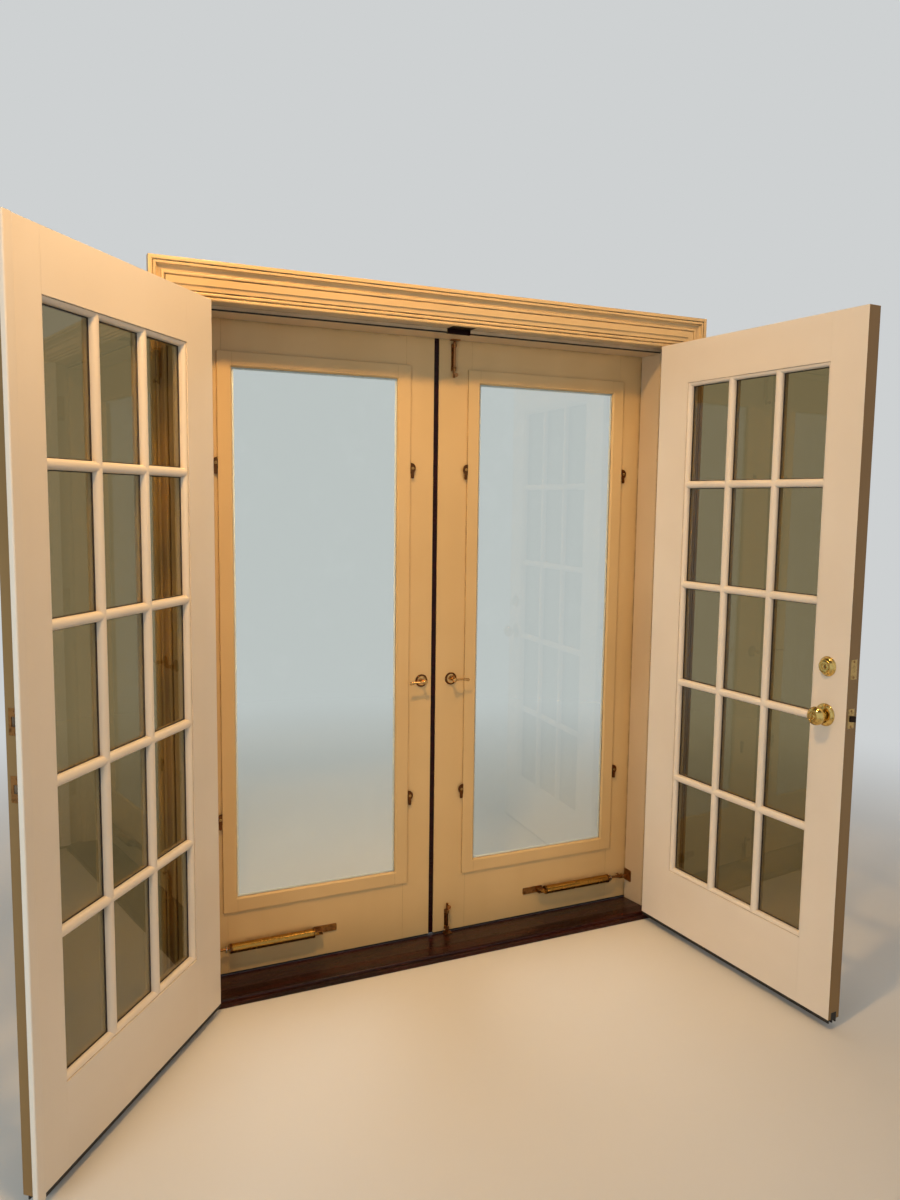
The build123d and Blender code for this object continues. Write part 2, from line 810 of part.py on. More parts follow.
def deadbolt_trim():
    """The key cylinder outside and the plate of the thumb turn inside."""
    outside = [
        (0, 0), (cylinder_rose_radius, 0), (cylinder_rose_radius, 3), (cylinder_rose_radius - 4, 8),
        (cylinder_rose_radius - 9, cylinder_rose_depth), (cylinder_radius, cylinder_rose_depth),
        (cylinder_radius, cylinder_rose_depth - 2), (0, cylinder_rose_depth - 2),
    ]
    key_guard = turned(outside, lock_side, deadbolt_height, leaf_thickness, 1)
    key_slot = block(
        lock_side - 1, lock_side + 1, leaf_thickness + cylinder_rose_depth - 5,
        leaf_thickness + cylinder_rose_depth + 1, deadbolt_height - 5, deadbolt_height + 5,
    )
    hole = turn_shaft + 0.05
    inside = [
        (hole, 0), (cylinder_rose_radius, 0), (cylinder_rose_radius, 2),
        (cylinder_rose_radius - 5, turn_plate_depth), (hole, turn_plate_depth),
    ]
    turn_plate = turned(inside, lock_side, deadbolt_height, 0, -1)
    return [key_guard - key_slot, turn_plate]


def thumb_turn():
    """The wing that throws the deadbolt from the room side, with its shaft."""
    shaft = outward(lock_side, deadbolt_height, -turn_plate_depth - 8, 8, turn_shaft)
    y1 = -turn_plate_depth - 0.4
    half = turn_length / 2
    outline = [
        (lock_side - 4, deadbolt_height - half), (lock_side + 4, deadbolt_height - half),
        (lock_side + 6.5, deadbolt_height), (lock_side + 4, deadbolt_height + half),
        (lock_side - 4, deadbolt_height + half), (lock_side - 6.5, deadbolt_height),
    ]
    wing = flat_plate(outline, y1 - 14, y1)
    wing = fillet(wing.edges().filter_by(Axis.Y), 2)
    collar = outward(lock_side, deadbolt_height, y1 - 4, y1, 10)
    return shaft + wing + collar


# Astragal of the left leaf

def slot_span(low_end):
    """The height of the slot that a slide bolt's tab moves in."""
    if low_end:
        middle = astragal_bottom + slide_bolt_length - tab_inset
        return middle - tab_height / 2 - sill_bolt_throw - 2, middle + tab_height / 2 + 2
    middle = astragal_top - slide_bolt_length + tab_inset
    return middle - tab_height / 2 - 2, middle + tab_height / 2 + head_bolt_throw + 2


def astragal():
    """The T-shaped strip on the left leaf's meeting edge, with the two bores for its slide bolts."""
    half = astragal_width / 2
    stem = block(passive_edge, stem_face, 1, cap_start + 1, leaf_bottom, leaf_top)
    cap = block(-half, half, cap_start, cap_end, astragal_bottom, astragal_top)
    arrises = cap.edges().filter_by(Axis.Z).group_by(Axis.Y)[-1]
    strip = stem + fillet(arrises, 3.5)
    strip -= block(-half, half, leaf_thickness, cap_end + 1, leaf_bottom - 1, astragal_bottom)
    strip -= block(-half, half, leaf_thickness, cap_end + 1, astragal_top, leaf_top + 1)
    radius = slide_bolt_radius + slide_bolt_play
    reach = slide_bolt_length + 20
    strip -= upright(0, cap_middle, astragal_bottom - 1, astragal_bottom + reach, radius)
    strip -= upright(0, cap_middle, astragal_top - reach, astragal_top + 1, radius)
    for low_end in (True, False):
        z0, z1 = slot_span(low_end)
        strip -= block(-tab_width / 2 - 0.3, tab_width / 2 + 0.3, cap_start - 1, cap_middle, z0, z1)
    for z, size, throw in lock_bolts():
        strip -= strike_bed(z)
    return strip


def slide_bolt(low_end):
    if low_end:
        z0, z1 = astragal_bottom + 0.5, astragal_bottom + slide_bolt_length
        middle = z1 - tab_inset
    else:
        z0, z1 = astragal_top - slide_bolt_length, astragal_top - 0.5
        middle = z0 + tab_inset
    bar = upright(0, cap_middle, z0, z1, slide_bolt_radius)
    tab = block(
        -tab_width / 2, tab_width / 2, cap_start + 0.3, cap_middle,
        middle - tab_height / 2, middle + tab_height / 2,
    )
    return bar + tab


def strike_bed(z):
    return block(
        passive_edge, stem_face, bolt_middle - plate_width / 2 - 1.3, bolt_middle + plate_width / 2 + 1.3,
        z - plate_height / 2, z + plate_height / 2,
    )


def leaf_strikes():
    """The two plates on the left leaf's edge that the latch and the deadbolt go into."""
    plates = []
    for z, size, throw in lock_bolts():
        plates.append(strike_bed(z) - bolt_bar(z, size, passive_edge - 1, stem_face + 1, 1.2))
    return plates


# Storm doors

def storm_ends(hand):
    """The x of a storm door's hinge edge and of its meeting edge."""
    return hand * storm_edge, (left_meeting if hand == left else right_meeting)


def storm_frame(hand):
    """Stiles that run through and rails between them, rebated for the glazed insert."""
    outer, meeting = storm_ends(hand)
    blank = block(outer, meeting, storm_face, storm_back, storm_bottom, storm_top)
    pocket = block(
        hand * insert_near, hand * insert_far, storm_face - 1, insert_face + insert_thickness,
        insert_bottom, insert_top,
    )
    daylight = block(
        hand * (insert_near + insert_lip), hand * (insert_far - insert_lip),
        storm_face - 1, storm_back + 1, insert_bottom + insert_lip, insert_top - insert_lip,
    )
    shell = blank - pocket - daylight
    shell -= storm_bores(hand)
    near, far = hand * (insert_near + insert_lip), hand * (insert_far - insert_lip)
    y0, y1 = storm_face - 2, storm_back + 2
    middle = (insert_bottom + insert_top) / 2
    pieces = [
        shell & block(outer, far, y0, y1, 0, storm_top + 1),
        shell & block(meeting, near, y0, y1, 0, storm_top + 1),
        shell & block(far, near, y0, y1, middle, storm_top + 1),
        shell & block(far, near, y0, y1, 0, middle),
    ]
    if hand == right:
        pieces.append(meeting_strip())
    return pieces


def meeting_strip():
    """The painted strip that fills the space between the storm doors, on the right one's edge."""
    strip = block(
        right_meeting, left_meeting + strip_play, storm_face + strip_inset, storm_back - 2,
        storm_bottom, storm_top,
    )
    return strip - storm_latch_hole(storm_latch_throw + 1.5, 1.0)


def storm_latch_hole(depth, grow):
    """The room that the storm doors' latch needs, from the left door's edge on."""
    thick, high = storm_latch_size
    y = storm_face + storm_thickness / 2
    return block(
        left_meeting, left_meeting + depth, y - thick / 2 - grow, y + thick / 2 + grow,
        lever_height - high / 2 - grow, lever_height + high / 2 + grow,
    )


def storm_bores(hand):
    """Holes through the meeting stile for the lever's spindle and, on the left, for the latch."""
    side = left_lever_side if hand == left else right_lever_side
    hole = outward(side, lever_height, storm_face - 1, storm_back + 1, hub_radius + 0.5)
    if hand == right:
        return hole
    thick, high = storm_latch_size
    y = storm_face + storm_thickness / 2
    channel = block(
        left_lever_side, left_meeting + 1, y - thick / 2 - bolt_play, y + thick / 2 + bolt_play,
        lever_height - high / 2 - bolt_play, lever_height + high / 2 + bolt_play,
    )
    return hole + channel


def storm_latch():
    thick, high = storm_latch_size
    y = storm_face + storm_thickness / 2
    return block(
        left_lever_side + hub_radius + storm_latch_throw + 1, left_meeting + storm_latch_throw,
        y - thick / 2, y + thick / 2, lever_height - high / 2, lever_height + high / 2,
    )


def insert_frame(hand):
    """Four members round the glass: stiles run through, rails butt between them."""
    near, far = hand * insert_near, hand * insert_far
    y0, y1 = insert_face, insert_face + insert_thickness
    member = insert_member
    outer = block(near, far, y0, y1, insert_bottom, insert_top)
    inner_x = (hand * (insert_near + member), hand * (insert_far - member))
    hole = block(*inner_x, y0 - 1, y1 + 1, insert_bottom + member, insert_top - member)
    ring = outer - hole

    def inner_front(edge):
        middle = edge.center()
        inside = min(abs(middle.X - inner_x[0]), abs(middle.X - inner_x[1])) < 0.1
        level = min(abs(middle.Z - insert_bottom - member), abs(middle.Z - insert_top + member)) < 0.1
        return abs(middle.Y - y0) < 0.01 and (inside or level)

    ring = chamfer(ring.edges().filter_by(inner_front), insert_bevel)
    glass_y = y0 + insert_thickness / 2
    groove = block(
        hand * (insert_near + member - rebate), hand * (insert_far - member + rebate),
        glass_y - storm_pane / 2, glass_y + storm_pane / 2,
        insert_bottom + member - rebate, insert_top - member + rebate,
    )
    ring = ring - groove
    middle = (insert_bottom + insert_top) / 2
    return [
        ring & block(near, inner_x[0], y0 - 1, y1 + 1, insert_bottom, insert_top),
        ring & block(far, inner_x[1], y0 - 1, y1 + 1, insert_bottom, insert_top),
        ring & block(*inner_x, y0 - 1, y1 + 1, middle, insert_top),
        ring & block(*inner_x, y0 - 1, y1 + 1, insert_bottom, middle),
    ]


def storm_glass(hand):
    glass_y = insert_face + insert_thickness / 2
    lap = insert_member - rebate
    return block(
        hand * (insert_near + lap), hand * (insert_far - lap),
        glass_y - storm_pane / 2, glass_y + storm_pane / 2, insert_bottom + lap, insert_top - lap,
    )


def lever_roses(side):
    """The round plates of a lever, room side and outside."""
    hole = hub_radius + 0.05
    outline = [
        (hole, 0), (lever_rose_radius, 0), (lever_rose_radius, 2.5),
        (lever_rose_radius - 3, 4.5), (lever_rose_radius - 8, lever_rose_depth), (hole, lever_rose_depth),
    ]
    return [
        turned(outline, side, lever_height, storm_face, -1),
        turned(outline, side, lever_height, storm_back, 1),
    ]


def lever(side, toward):
    """A lever handle on each side of the storm door, with the spindle between them."""
    hub = outward(side, lever_height, storm_face - lever_reach, storm_back + lever_reach, hub_radius)
    tip = side + toward * lever_length
    outline = [
        (side - toward * hub_radius, lever_height - hub_radius + 1.5),
        (side + toward * lever_length * 0.45, lever_height - 5.5), (tip, lever_height - 3.8),
        (tip, lever_height + 4.2), (side + toward * lever_length * 0.45, lever_height + 5.5),
        (side - toward * hub_radius, lever_height + hub_radius - 1.5),
    ]
    handle = flat_plate(outline, 0, lever_thickness)
    handle = fillet(handle.edges().filter_by(Axis.Y), 2.2)
    room_side = Pos(0, storm_face - lever_reach, 0) * handle
    outside = Pos(0, storm_back + lever_reach - lever_thickness, 0) * handle
    return hub + room_side + outside


def turn_button(x, z, away):
    """A half-round button turned away from the insert, with a tail, on a boss as high as the insert."""
    face = insert_face - button_play
    straight = x - away * button_pivot
    half_round = outward(straight, z, face - button_thickness, face, button_radius)
    plate = half_round - block(
        straight, straight - away * (button_radius + 1), face - button_thickness - 1, face + 1,
        z - button_radius - 1, z + button_radius + 1,
    )
    tail = block(
        straight + away * 1.5, straight + away * (1.5 + tail_width), face - button_thickness, face,
        z - button_tail, z,
    )
    plate += fillet(tail.edges().filter_by(Axis.Y).group_by(Axis.Z)[0], 4)
    boss = outward(x, z, face - button_thickness - 1.5, storm_face - 0.05, boss_radius)
    return plate + boss


def button_places(hand):
    """x, z and the direction away from the insert, for the four buttons of a storm door."""
    places = []
    offset = button_gap + button_pivot
    for z in (insert_bottom + low_button_rise, insert_top - high_button_drop):
        places.append((hand * (insert_near - offset), z, -hand))
        places.append((hand * (insert_far + offset), z, hand))
    return places


# Surface bolts of the right storm door

def surface_bolt_span(low_end):
    if low_end:
        return sill_top_at(surface_bolt_y) + keeper_height + 1.5, low_bolt_top
    high_end = soffit - keeper_height - 1.5
    return high_end - surface_bolt_length, high_end


def sill_top_at(y):
    start = sill_flat + 20
    share = (y - start) / (sill_depth - start)
    return sill_height - 2 + share * (sill_slope_end - sill_height + 2)


def surface_bolt(low_end):
    """A round bolt with a hooked knob."""
    z0, z1 = surface_bolt_span(low_end)
    x, y = surface_bolt_side, surface_bolt_y
    bar = upright(x, y, z0, z1, surface_bolt_radius)
    knob_z = z1 - hook_inset if low_end else z0 + hook_inset
    stem = outward(x, knob_z, y - 15, y, 3)
    hook = outward(x, knob_z, y - 19, y - 14, 6.5)
    return bar + stem + hook


def bolt_guides(low_end):
    """Two straps on the storm door that the bolt runs in, on one back plate."""
    z0, z1 = surface_bolt_span(low_end)
    x, y = surface_bolt_side, surface_bolt_y
    if low_end:
        low, high = z0 + guide_overrun, z1 - knob_overrun
    else:
        low, high = z0 + knob_overrun, z1 - guide_overrun
    plate = block(x - guide_width / 2, x + guide_width / 2, storm_face - 2, storm_face, low, high)
    for z in (low, high - guide_height):
        outer = block(x - strap_width / 2, x + strap_width / 2, y - 7, storm_face - 2, z, z + guide_height)
        outer = fillet(outer.edges().filter_by(Axis.Z).group_by(Axis.Y)[0], 4)
        plate += outer
    return plate - upright(x, y, low - 1, high + 1, surface_bolt_radius + slide_bolt_play)


def storm_keepers():
    """The plates on the sill and under the head that the surface bolts go into."""
    x, y = surface_bolt_side, surface_bolt_y
    x0, x1 = x - keeper_width / 2, x + keeper_width / 2
    top = block(x0, x1, jamb_depth - keeper_depth, jamb_depth, soffit - keeper_height, soffit)
    top -= upright(x, y, soffit - keeper_height - 1, soffit + 1, keeper_hole)
    seat = sill_top_at(y)
    bottom = block(x0, x1, jamb_depth - keeper_depth, jamb_depth, 2, seat + keeper_height)
    bottom = bottom - sill_board()
    bottom -= upright(x, y, 0, seat + keeper_height + 1, keeper_hole)
    above = block(x - 20, x + 20, 0, sill_depth, sill_top_at(jamb_depth) - 1, 60)
    return [top, bottom & above]


# Door closers

def closer_lugs(x0, x1, y0, y1):
    """Two flat lugs, one above and one below a tang, with the running gap."""
    near = tang_thickness / 2 + lug_gap
    low = block(x0, x1, y0, y1, closer_height - near - lug_thickness, closer_height - near)
    high = block(x0, x1, y0, y1, closer_height + near, closer_height + near + lug_thickness)
    return low + high


def closer_door_bracket():
    """The bracket on the storm door with its pin, drawn for the right door."""
    plate = block(
        door_pin + 10 - bracket_length, door_pin + 10, storm_face - 3, storm_face,
        closer_height - bracket_height / 2, closer_height + bracket_height / 2,
    )
    plate = fillet(plate.edges().filter_by(Axis.Y), 4)
    lugs = closer_lugs(door_pin - 16, door_pin + 8, closer_line - 8, storm_face - 2)
    pin = upright(
        door_pin, closer_line, closer_height - pin_half_height, closer_height + pin_half_height, closer_pin,
    )
    return plate + lugs + pin


def closer_tube():
    """Tube with a flat tang at the door end and a bored cap at the jamb end."""
    tube = sideways(closer_line, closer_height, tube_start, tube_end, tube_radius)
    hollow = sideways(
        closer_line, closer_height, tube_start + end_cap, tube_end - end_cap, tube_radius - tube_wall,
    )
    bore = sideways(closer_line, closer_height, tube_end - end_cap - 1, tube_end + 1, closer_rod + pin_play)
    half = tang_thickness / 2
    tang = block(
        door_pin, tube_start + 4, closer_line - 7, closer_line + 7,
        closer_height - half, closer_height + half,
    )
    tang += upright(door_pin, closer_line, closer_height - half, closer_height + half, 7)
    tang -= upright(door_pin, closer_line, 0, closer_height * 2, closer_pin + pin_play)
    return (tube - hollow - bore) + tang


def closer_rod_piece():
    """The rod with its piston inside the tube and an eye with a pin at the jamb end."""
    start = tube_end - piston_inset
    rod = sideways(closer_line, closer_height, start, jamb_pin - eye_reach, closer_rod)
    piston = sideways(closer_line, closer_height, start - 6, start, tube_radius - tube_wall - 0.1)
    washer_start = tube_end + washer_inset
    washer = sideways(closer_line, closer_height, washer_start, washer_start + 2, washer_radius)
    half = tang_thickness / 2
    eye = block(
        jamb_pin - eye_reach - 4, jamb_pin, closer_line - 6, closer_line + 6,
        closer_height - half, closer_height + half,
    )
    eye += upright(jamb_pin, closer_line, closer_height - half, closer_height + half, 6)
    pin = upright(
        jamb_pin, closer_line, closer_height - pin_half_height, closer_height + pin_half_height, closer_pin,
    )
    return rod + piston + washer + eye + pin


def closer_jamb_bracket():
    """The bracket on the right jamb. Its window leaves room for the rod's pin all the way."""
    plate = block(
        stop_face - 3, stop_face, closer_line - 24, jamb_depth - 1, closer_height - 22, closer_height + 22,
    )
    plate = fillet(plate.edges().filter_by(Axis.X), 4)
    x0 = jamb_pin - closer_pin - 4
    lugs = closer_lugs(x0 - 5, stop_face - 2, closer_line - 9, jamb_depth - 1)
    window = block(
        x0, stop_face - 3, closer_line - closer_pin - 2, closer_line + closer_pin + 16, 0, closer_height * 2,
    )
    return plate + (lugs - window)


def pair(shape, hand):
    return shape if hand == right else mirrored(shape)


# Write the pieces

os.makedirs("parts", exist_ok=True)

save("jamb_left", jamb(left))
save("jamb_right", jamb(right))
save("head_jamb", head())
save("interior_casing", *interior_casing())
save("exterior_casing", *exterior_casing())
save("sill", sill_board(), nosing())
save("weatherstrips", *weatherstrips())
save("frame_strikes", head_strike(), *storm_keepers())
save("closer_jamb_brackets", *[pair(closer_jamb_bracket(), hand) for hand in (left, right)])

jamb_hinge_pieces = []
for hand, name in ((left, "left"), (right, "right")):
    leaf_plates = []
    for z in hinge_heights():
        on_jamb, on_leaf, pin = leaf_hinge(hand, z)
        jamb_hinge_pieces += [on_jamb, pin]
        leaf_plates.append(swung(on_leaf, hand))
    storm_plates = []
    low_storm_hinge, high_storm_hinge = storm_bottom + storm_hinge_inset, storm_top - storm_hinge_inset
    for z in (low_storm_hinge, (low_storm_hinge + high_storm_hinge) / 2, high_storm_hinge):
        on_jamb, on_door = storm_hinge(hand, z)
        jamb_hinge_pieces.append(on_jamb)
        storm_plates.append(on_door)
    save(f"{name}_stiles", swung(hinge_side_stile(hand), hand), swung(latch_side_stile(hand), hand))
    save(f"{name}_rails", *[swung(piece, hand) for piece in rails(hand)])
    save(f"{name}_grille", swung(grille(hand), hand))
    save(f"{name}_panes", *[swung(piece, hand) for piece in panes(hand)])
    save(f"{name}_beads", *[swung(piece, hand) for piece in glazing_beads(hand)])
    save(f"{name}_sweep", swung(sweep(hand), hand))
    save(f"{name}_hinges", *leaf_plates)
    save(f"storm_{name}_frame", *storm_frame(hand))
    save(f"storm_{name}_insert", *insert_frame(hand))
    save(f"storm_{name}_glass", storm_glass(hand))
    save(f"storm_{name}_hinges", *storm_plates)
    save(f"storm_{name}_closer_tube", pair(closer_tube(), hand))
    save(f"storm_{name}_closer_rod", pair(closer_rod_piece(), hand))
    for number, (x, z, facing) in enumerate(button_places(hand), start=1):
        save(f"storm_{name}_button_{number}", turn_button(x, z, facing))
save("jamb_hinges", *jamb_hinge_pieces)

save("left_astragal", swung(astragal(), left))
save("left_strikes", *[swung(piece, left) for piece in leaf_strikes()])
save("left_sill_bolt", swung(slide_bolt(True), left))
save("left_head_bolt", swung(slide_bolt(False), left))

roses = [rose(-1, neck_radius + 0.05), rose(1, neck_radius + 0.05)]
cases = [lock_case(z, size) for z, size, throw in lock_bolts()]
save("right_lock_trim", *[swung(piece, right) for piece in roses + deadbolt_trim() + cases])
save("right_knobs", *[swung(piece, right) for piece in lock_knobs()])
save("right_latch", swung(latch_bolt(), right))
save("right_thumb_turn", swung(thumb_turn(), right))
save("right_deadbolt", swung(deadbolt(), right))

save("storm_left_fittings", *lever_roses(left_lever_side), pair(closer_door_bracket(), left))
save("storm_left_lever", lever(left_lever_side, -1))
save("storm_latch", storm_latch())
save(
    "storm_right_fittings", *lever_roses(right_lever_side), closer_door_bracket(),
    bolt_guides(True), bolt_guides(False),
)
save("storm_right_lever", lever(right_lever_side, 1))
save("storm_head_bolt", surface_bolt(False))
save("storm_sill_bolt", surface_bolt(True))
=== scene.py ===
import math

import bmesh
import bpy
from mathutils import Matrix, Vector


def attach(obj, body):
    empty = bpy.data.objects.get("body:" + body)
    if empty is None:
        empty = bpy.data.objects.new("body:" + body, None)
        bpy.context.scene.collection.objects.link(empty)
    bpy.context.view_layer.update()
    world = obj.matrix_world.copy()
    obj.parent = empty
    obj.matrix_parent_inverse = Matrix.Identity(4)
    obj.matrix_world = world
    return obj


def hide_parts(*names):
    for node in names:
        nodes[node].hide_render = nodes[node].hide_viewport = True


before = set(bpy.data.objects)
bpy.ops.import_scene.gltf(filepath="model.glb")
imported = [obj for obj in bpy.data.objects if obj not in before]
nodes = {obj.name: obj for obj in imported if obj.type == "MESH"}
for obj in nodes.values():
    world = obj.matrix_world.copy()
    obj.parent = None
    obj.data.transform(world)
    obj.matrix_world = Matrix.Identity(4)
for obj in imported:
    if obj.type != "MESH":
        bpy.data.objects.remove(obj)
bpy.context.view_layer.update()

scene = bpy.context.scene

# The two glazed leaves: how far they stand open, their hinge lines, and which way X runs from the middle
leafSwing = {
    "left": {"hand": -1, "angle": -128.6, "pivot": (-0.815, -0.007, 0)},
    "right": {"hand": 1, "angle": 94.0, "pivot": (0.815, -0.007, 0)},
}


def leafMatrix(side):  # from a shut leaf to where it stands open
    swing = leafSwing[side]
    move = Matrix.Translation(Vector(swing["pivot"]))
    return move @ Matrix.Rotation(math.radians(swing["angle"]), 4, "Z") @ move.inverted()


# Short forms for building shader trees

def newGroup(name, amounts, results):  # each group also takes a Vector
    group = bpy.data.node_groups.new(name, "ShaderNodeTree")
    addSocket = group.interface.new_socket
    addSocket("Vector", in_out="INPUT", socket_type="NodeSocketVector")
    for label, value in amounts.items():
        addSocket(label, in_out="INPUT", socket_type="NodeSocketFloat").default_value = value
    for label, kind in results.items():
        addSocket(label, in_out="OUTPUT", socket_type="NodeSocket" + kind)
    start, end = group.nodes.new("NodeGroupInput"), group.nodes.new("NodeGroupOutput")
    return group, start.outputs, end


def fill(tree, node, values):  # a plain value is set, a socket of another node is linked
    for key, value in values.items():
        if isinstance(value, bpy.types.NodeSocket):
            tree.links.new(value, node.inputs[key])
        else:
            node.inputs[key].default_value = value


def addNode(tree, kind, values=None, **settings):
    node = tree.nodes.new(kind)
    for key, value in settings.items():
        setattr(node, key, value)
    fill(tree, node, values or {})
    return node


def addNoise(tree, vector, **values):
    return addNode(tree, "ShaderNodeTexNoise", {"Vector": vector, **values}).outputs["Fac"]


def mathNode(tree, operation, *items, clamp=False):
    node = addNode(tree, "ShaderNodeMath", dict(enumerate(items)), operation=operation, use_clamp=clamp)
    return node.outputs[0]


def rampNode(tree, factor, low, high):  # 0 below low, 1 above high
    node = addNode(tree, "ShaderNodeMapRange", {"Value": factor, "From Min": low, "From Max": high},
                   interpolation_type="SMOOTHSTEP")
    return node.outputs[0]


def mixColor(tree, factor, first, second):
    first, second = ((*color, 1) if isinstance(color, tuple) else color for color in (first, second))
    node = addNode(tree, "ShaderNodeMix", {0: factor, 6: first, 7: second}, data_type="RGBA")
    return node.outputs[2]


def stretched(tree, vector, turn, scale):  # object coordinates turned about Z, then stretched
    spin = addNode(tree, "ShaderNodeMapping", {"Vector": vector, "Rotation": (0, 0, turn)})
    return addNode(tree, "ShaderNodeMapping", {"Vector": spin.outputs[0], "Scale": scale}).outputs[0]


def addBump(tree, surface, height, strength, distance, normal=None):
    bump = addNode(tree, "ShaderNodeBump", {"Strength": strength, "Distance": distance, "Height": height})
    if normal:
        fill(tree, bump, {"Normal": normal})
    fill(tree, surface, {"Normal": bump.outputs[0]})


# Effects that several materials share, each a node group

def makeBrushGroup():  # the strokes that a paint brush leaves
    group, given, end = newGroup("brushMarks", {"Fineness": 420.0, "Unevenness": 6.0},
                                 {"Height": "Float", "Tone": "Float"})
    fine = addNoise(group, given["Vector"], Scale=given["Fineness"], Detail=3.0, Roughness=0.6)
    broad = addNoise(group, given["Vector"], Scale=given["Unevenness"], Detail=2.0, Roughness=0.5)
    fill(group, end, {"Height": mathNode(group, "MULTIPLY_ADD", broad, 0.6, fine), "Tone": broad})
    return group


def makeWearGroup():  # rounded edges, rubbed through in places
    group, given, end = newGroup("edgeWear", {"Radius": 0.002, "Patchiness": 30.0, "Amount": 0.5},
                                 {"Mask": "Float", "Normal": "Vector"})
    soft = addNode(group, "ShaderNodeBevel", {"Radius": given["Radius"]}, samples=4).outputs[0]
    flat = addNode(group, "ShaderNodeNewGeometry").outputs["Normal"]
    dot = addNode(group, "ShaderNodeVectorMath", {0: soft, 1: flat}, operation="DOT_PRODUCT")
    edge = rampNode(group, mathNode(group, "SUBTRACT", 1.0, dot.outputs["Value"]), 0.02, 0.22)
    patches = addNoise(group, given["Vector"], Scale=given["Patchiness"], Detail=5.0, Roughness=0.65)
    mask = mathNode(group, "MULTIPLY", edge, rampNode(group, patches, 0.48, 0.62))
    fill(group, end, {"Mask": mathNode(group, "MULTIPLY", mask, given["Amount"]), "Normal": soft})
    return group


def makeShadeAndGrimeGroup():  # painted shade and dirt in corners: ambient occlusion darkens corners, creases and recesses, broken up by noise
    group, given, end = newGroup("shadeAndGrimeInCorners", {"Distance": 0.02, "Amount": 0.6}, {"Mask": "Float"})
    shade = addNode(group, "ShaderNodeAmbientOcclusion", {"Distance": given["Distance"]}, samples=4)
    closed = rampNode(group, shade.outputs["AO"], 0.75, 0.25)
    uneven = rampNode(group, addNoise(group, given["Vector"], Scale=22.0, Detail=4.0), 0.3, 0.65)
    mask = mathNode(group, "MULTIPLY", closed, uneven)
    fill(group, end, {"Mask": mathNode(group, "MULTIPLY", mask, given["Amount"])})
    return group


def makeTarnishAndReflectionGroup():  # cloudy patches and fine scratches on metal: tarnish, and on the polished brass mostly painted dark reflections
    group, given, end = newGroup("tarnishAndReflection", {"Scale": 60.0, "Spread": 0.5}, {"Mask": "Float", "Height": "Float"})
    cloud = addNoise(group, given["Vector"], Scale=given["Scale"], Detail=6.0, Roughness=0.7)
    low = mathNode(group, "SUBTRACT", 0.75, given["Spread"])
    pull = addNode(group, "ShaderNodeMapping", {"Vector": given["Vector"], "Scale": (1, 1, 0.08)})
    scratch = addNoise(group, pull.outputs[0], Scale=900.0, Detail=2.0)
    fill(group, end, {"Mask": rampNode(group, cloud, low, 0.8), "Height": scratch})
    return group


effects = {
    "brush": makeBrushGroup(),
    "wear": makeWearGroup(),
    "shadeAndGrime": makeShadeAndGrimeGroup(),
    "tarnishAndReflection": makeTarnishAndReflectionGroup(),
}
print("effects:", ", ".join(sorted(effects)))


def useEffect(tree, name, vector, **values):
    node = addNode(tree, "ShaderNodeGroup", node_tree=effects[name])
    fill(tree, node, {"Vector": vector, **values})
    return node.outputs


def startMaterial(name):
    material = bpy.data.materials.new(name)
    material.use_nodes = True
    tree = material.node_tree
    place = addNode(tree, "ShaderNodeTexCoord")
    return material, tree, tree.nodes["Principled BSDF"], place.outputs["Object"]


def srgb(red, green, blue):  # a colour as a paint card gives it, 0 to 255, made linear
    def linear(value):
        value /= 255
        return value / 12.92 if value <= 0.04045 else ((value + 0.055) / 1.055) ** 2.4
    return (linear(red), linear(green), linear(blue))


# Painted wood

paintLook = {"stretch": {"z": (1, 1, 0.03), "x": (0.03, 1, 1)}, "edge": 0.0016, "reach": 0.018, "blotch": 0.6,
             "streak": 0.35, "shine": 0.45, "bump": 0.22, "bumpDepth": 0.0004}

# Each paint's corner colour is painted shade with some dirt, laid into its corners and recesses
paintKinds = {
    "leafPaint": {"color": (232, 220, 204), "shade": (222, 208, 190), "under": (206, 190, 166),
                  "shadeAndGrime": (150, 116, 80), "rough": 0.33, "wear": 0.2, "shadeAndGrimeAmount": 0.4},
    # The leaves' latch edges: darker brown than their faces, partly paint and partly painted shade of edges turned
    # from the light
    "edgePaintAndShade": {"color": (144, 112, 68), "shade": (128, 96, 56), "under": (176, 140, 96),
                  "shadeAndGrime": (84, 56, 32), "rough": 0.5, "wear": 0.4, "shadeAndGrimeAmount": 0.5},
    # The casing's corner shade reaches far and is strong: painted shade that darkens its coves
    "casingPaint": {"color": (210, 178, 128), "shade": (198, 164, 114), "under": (186, 150, 102),
                    "shadeAndGrime": (122, 82, 40), "rough": 0.34, "wear": 0.2, "shadeAndGrimeAmount": 0.95, "reach": 0.034},
    "framePaint": {"color": (206, 182, 148), "shade": (192, 167, 132), "under": (176, 144, 100),
                   "shadeAndGrime": (104, 72, 42), "rough": 0.36, "wear": 0.25, "shadeAndGrimeAmount": 0.55},
    "stormPaint": {"color": (207, 175, 124), "shade": (196, 162, 110), "under": (170, 130, 82),
                   "shadeAndGrime": (92, 58, 32), "rough": 0.38, "wear": 0.3, "shadeAndGrimeAmount": 0.6},
    "outerPaint": {"color": (212, 198, 174), "shade": (196, 182, 158), "under": (160, 144, 120),
                   "shadeAndGrime": (96, 82, 64), "rough": 0.5, "wear": 0.6, "shadeAndGrimeAmount": 0.8},
}


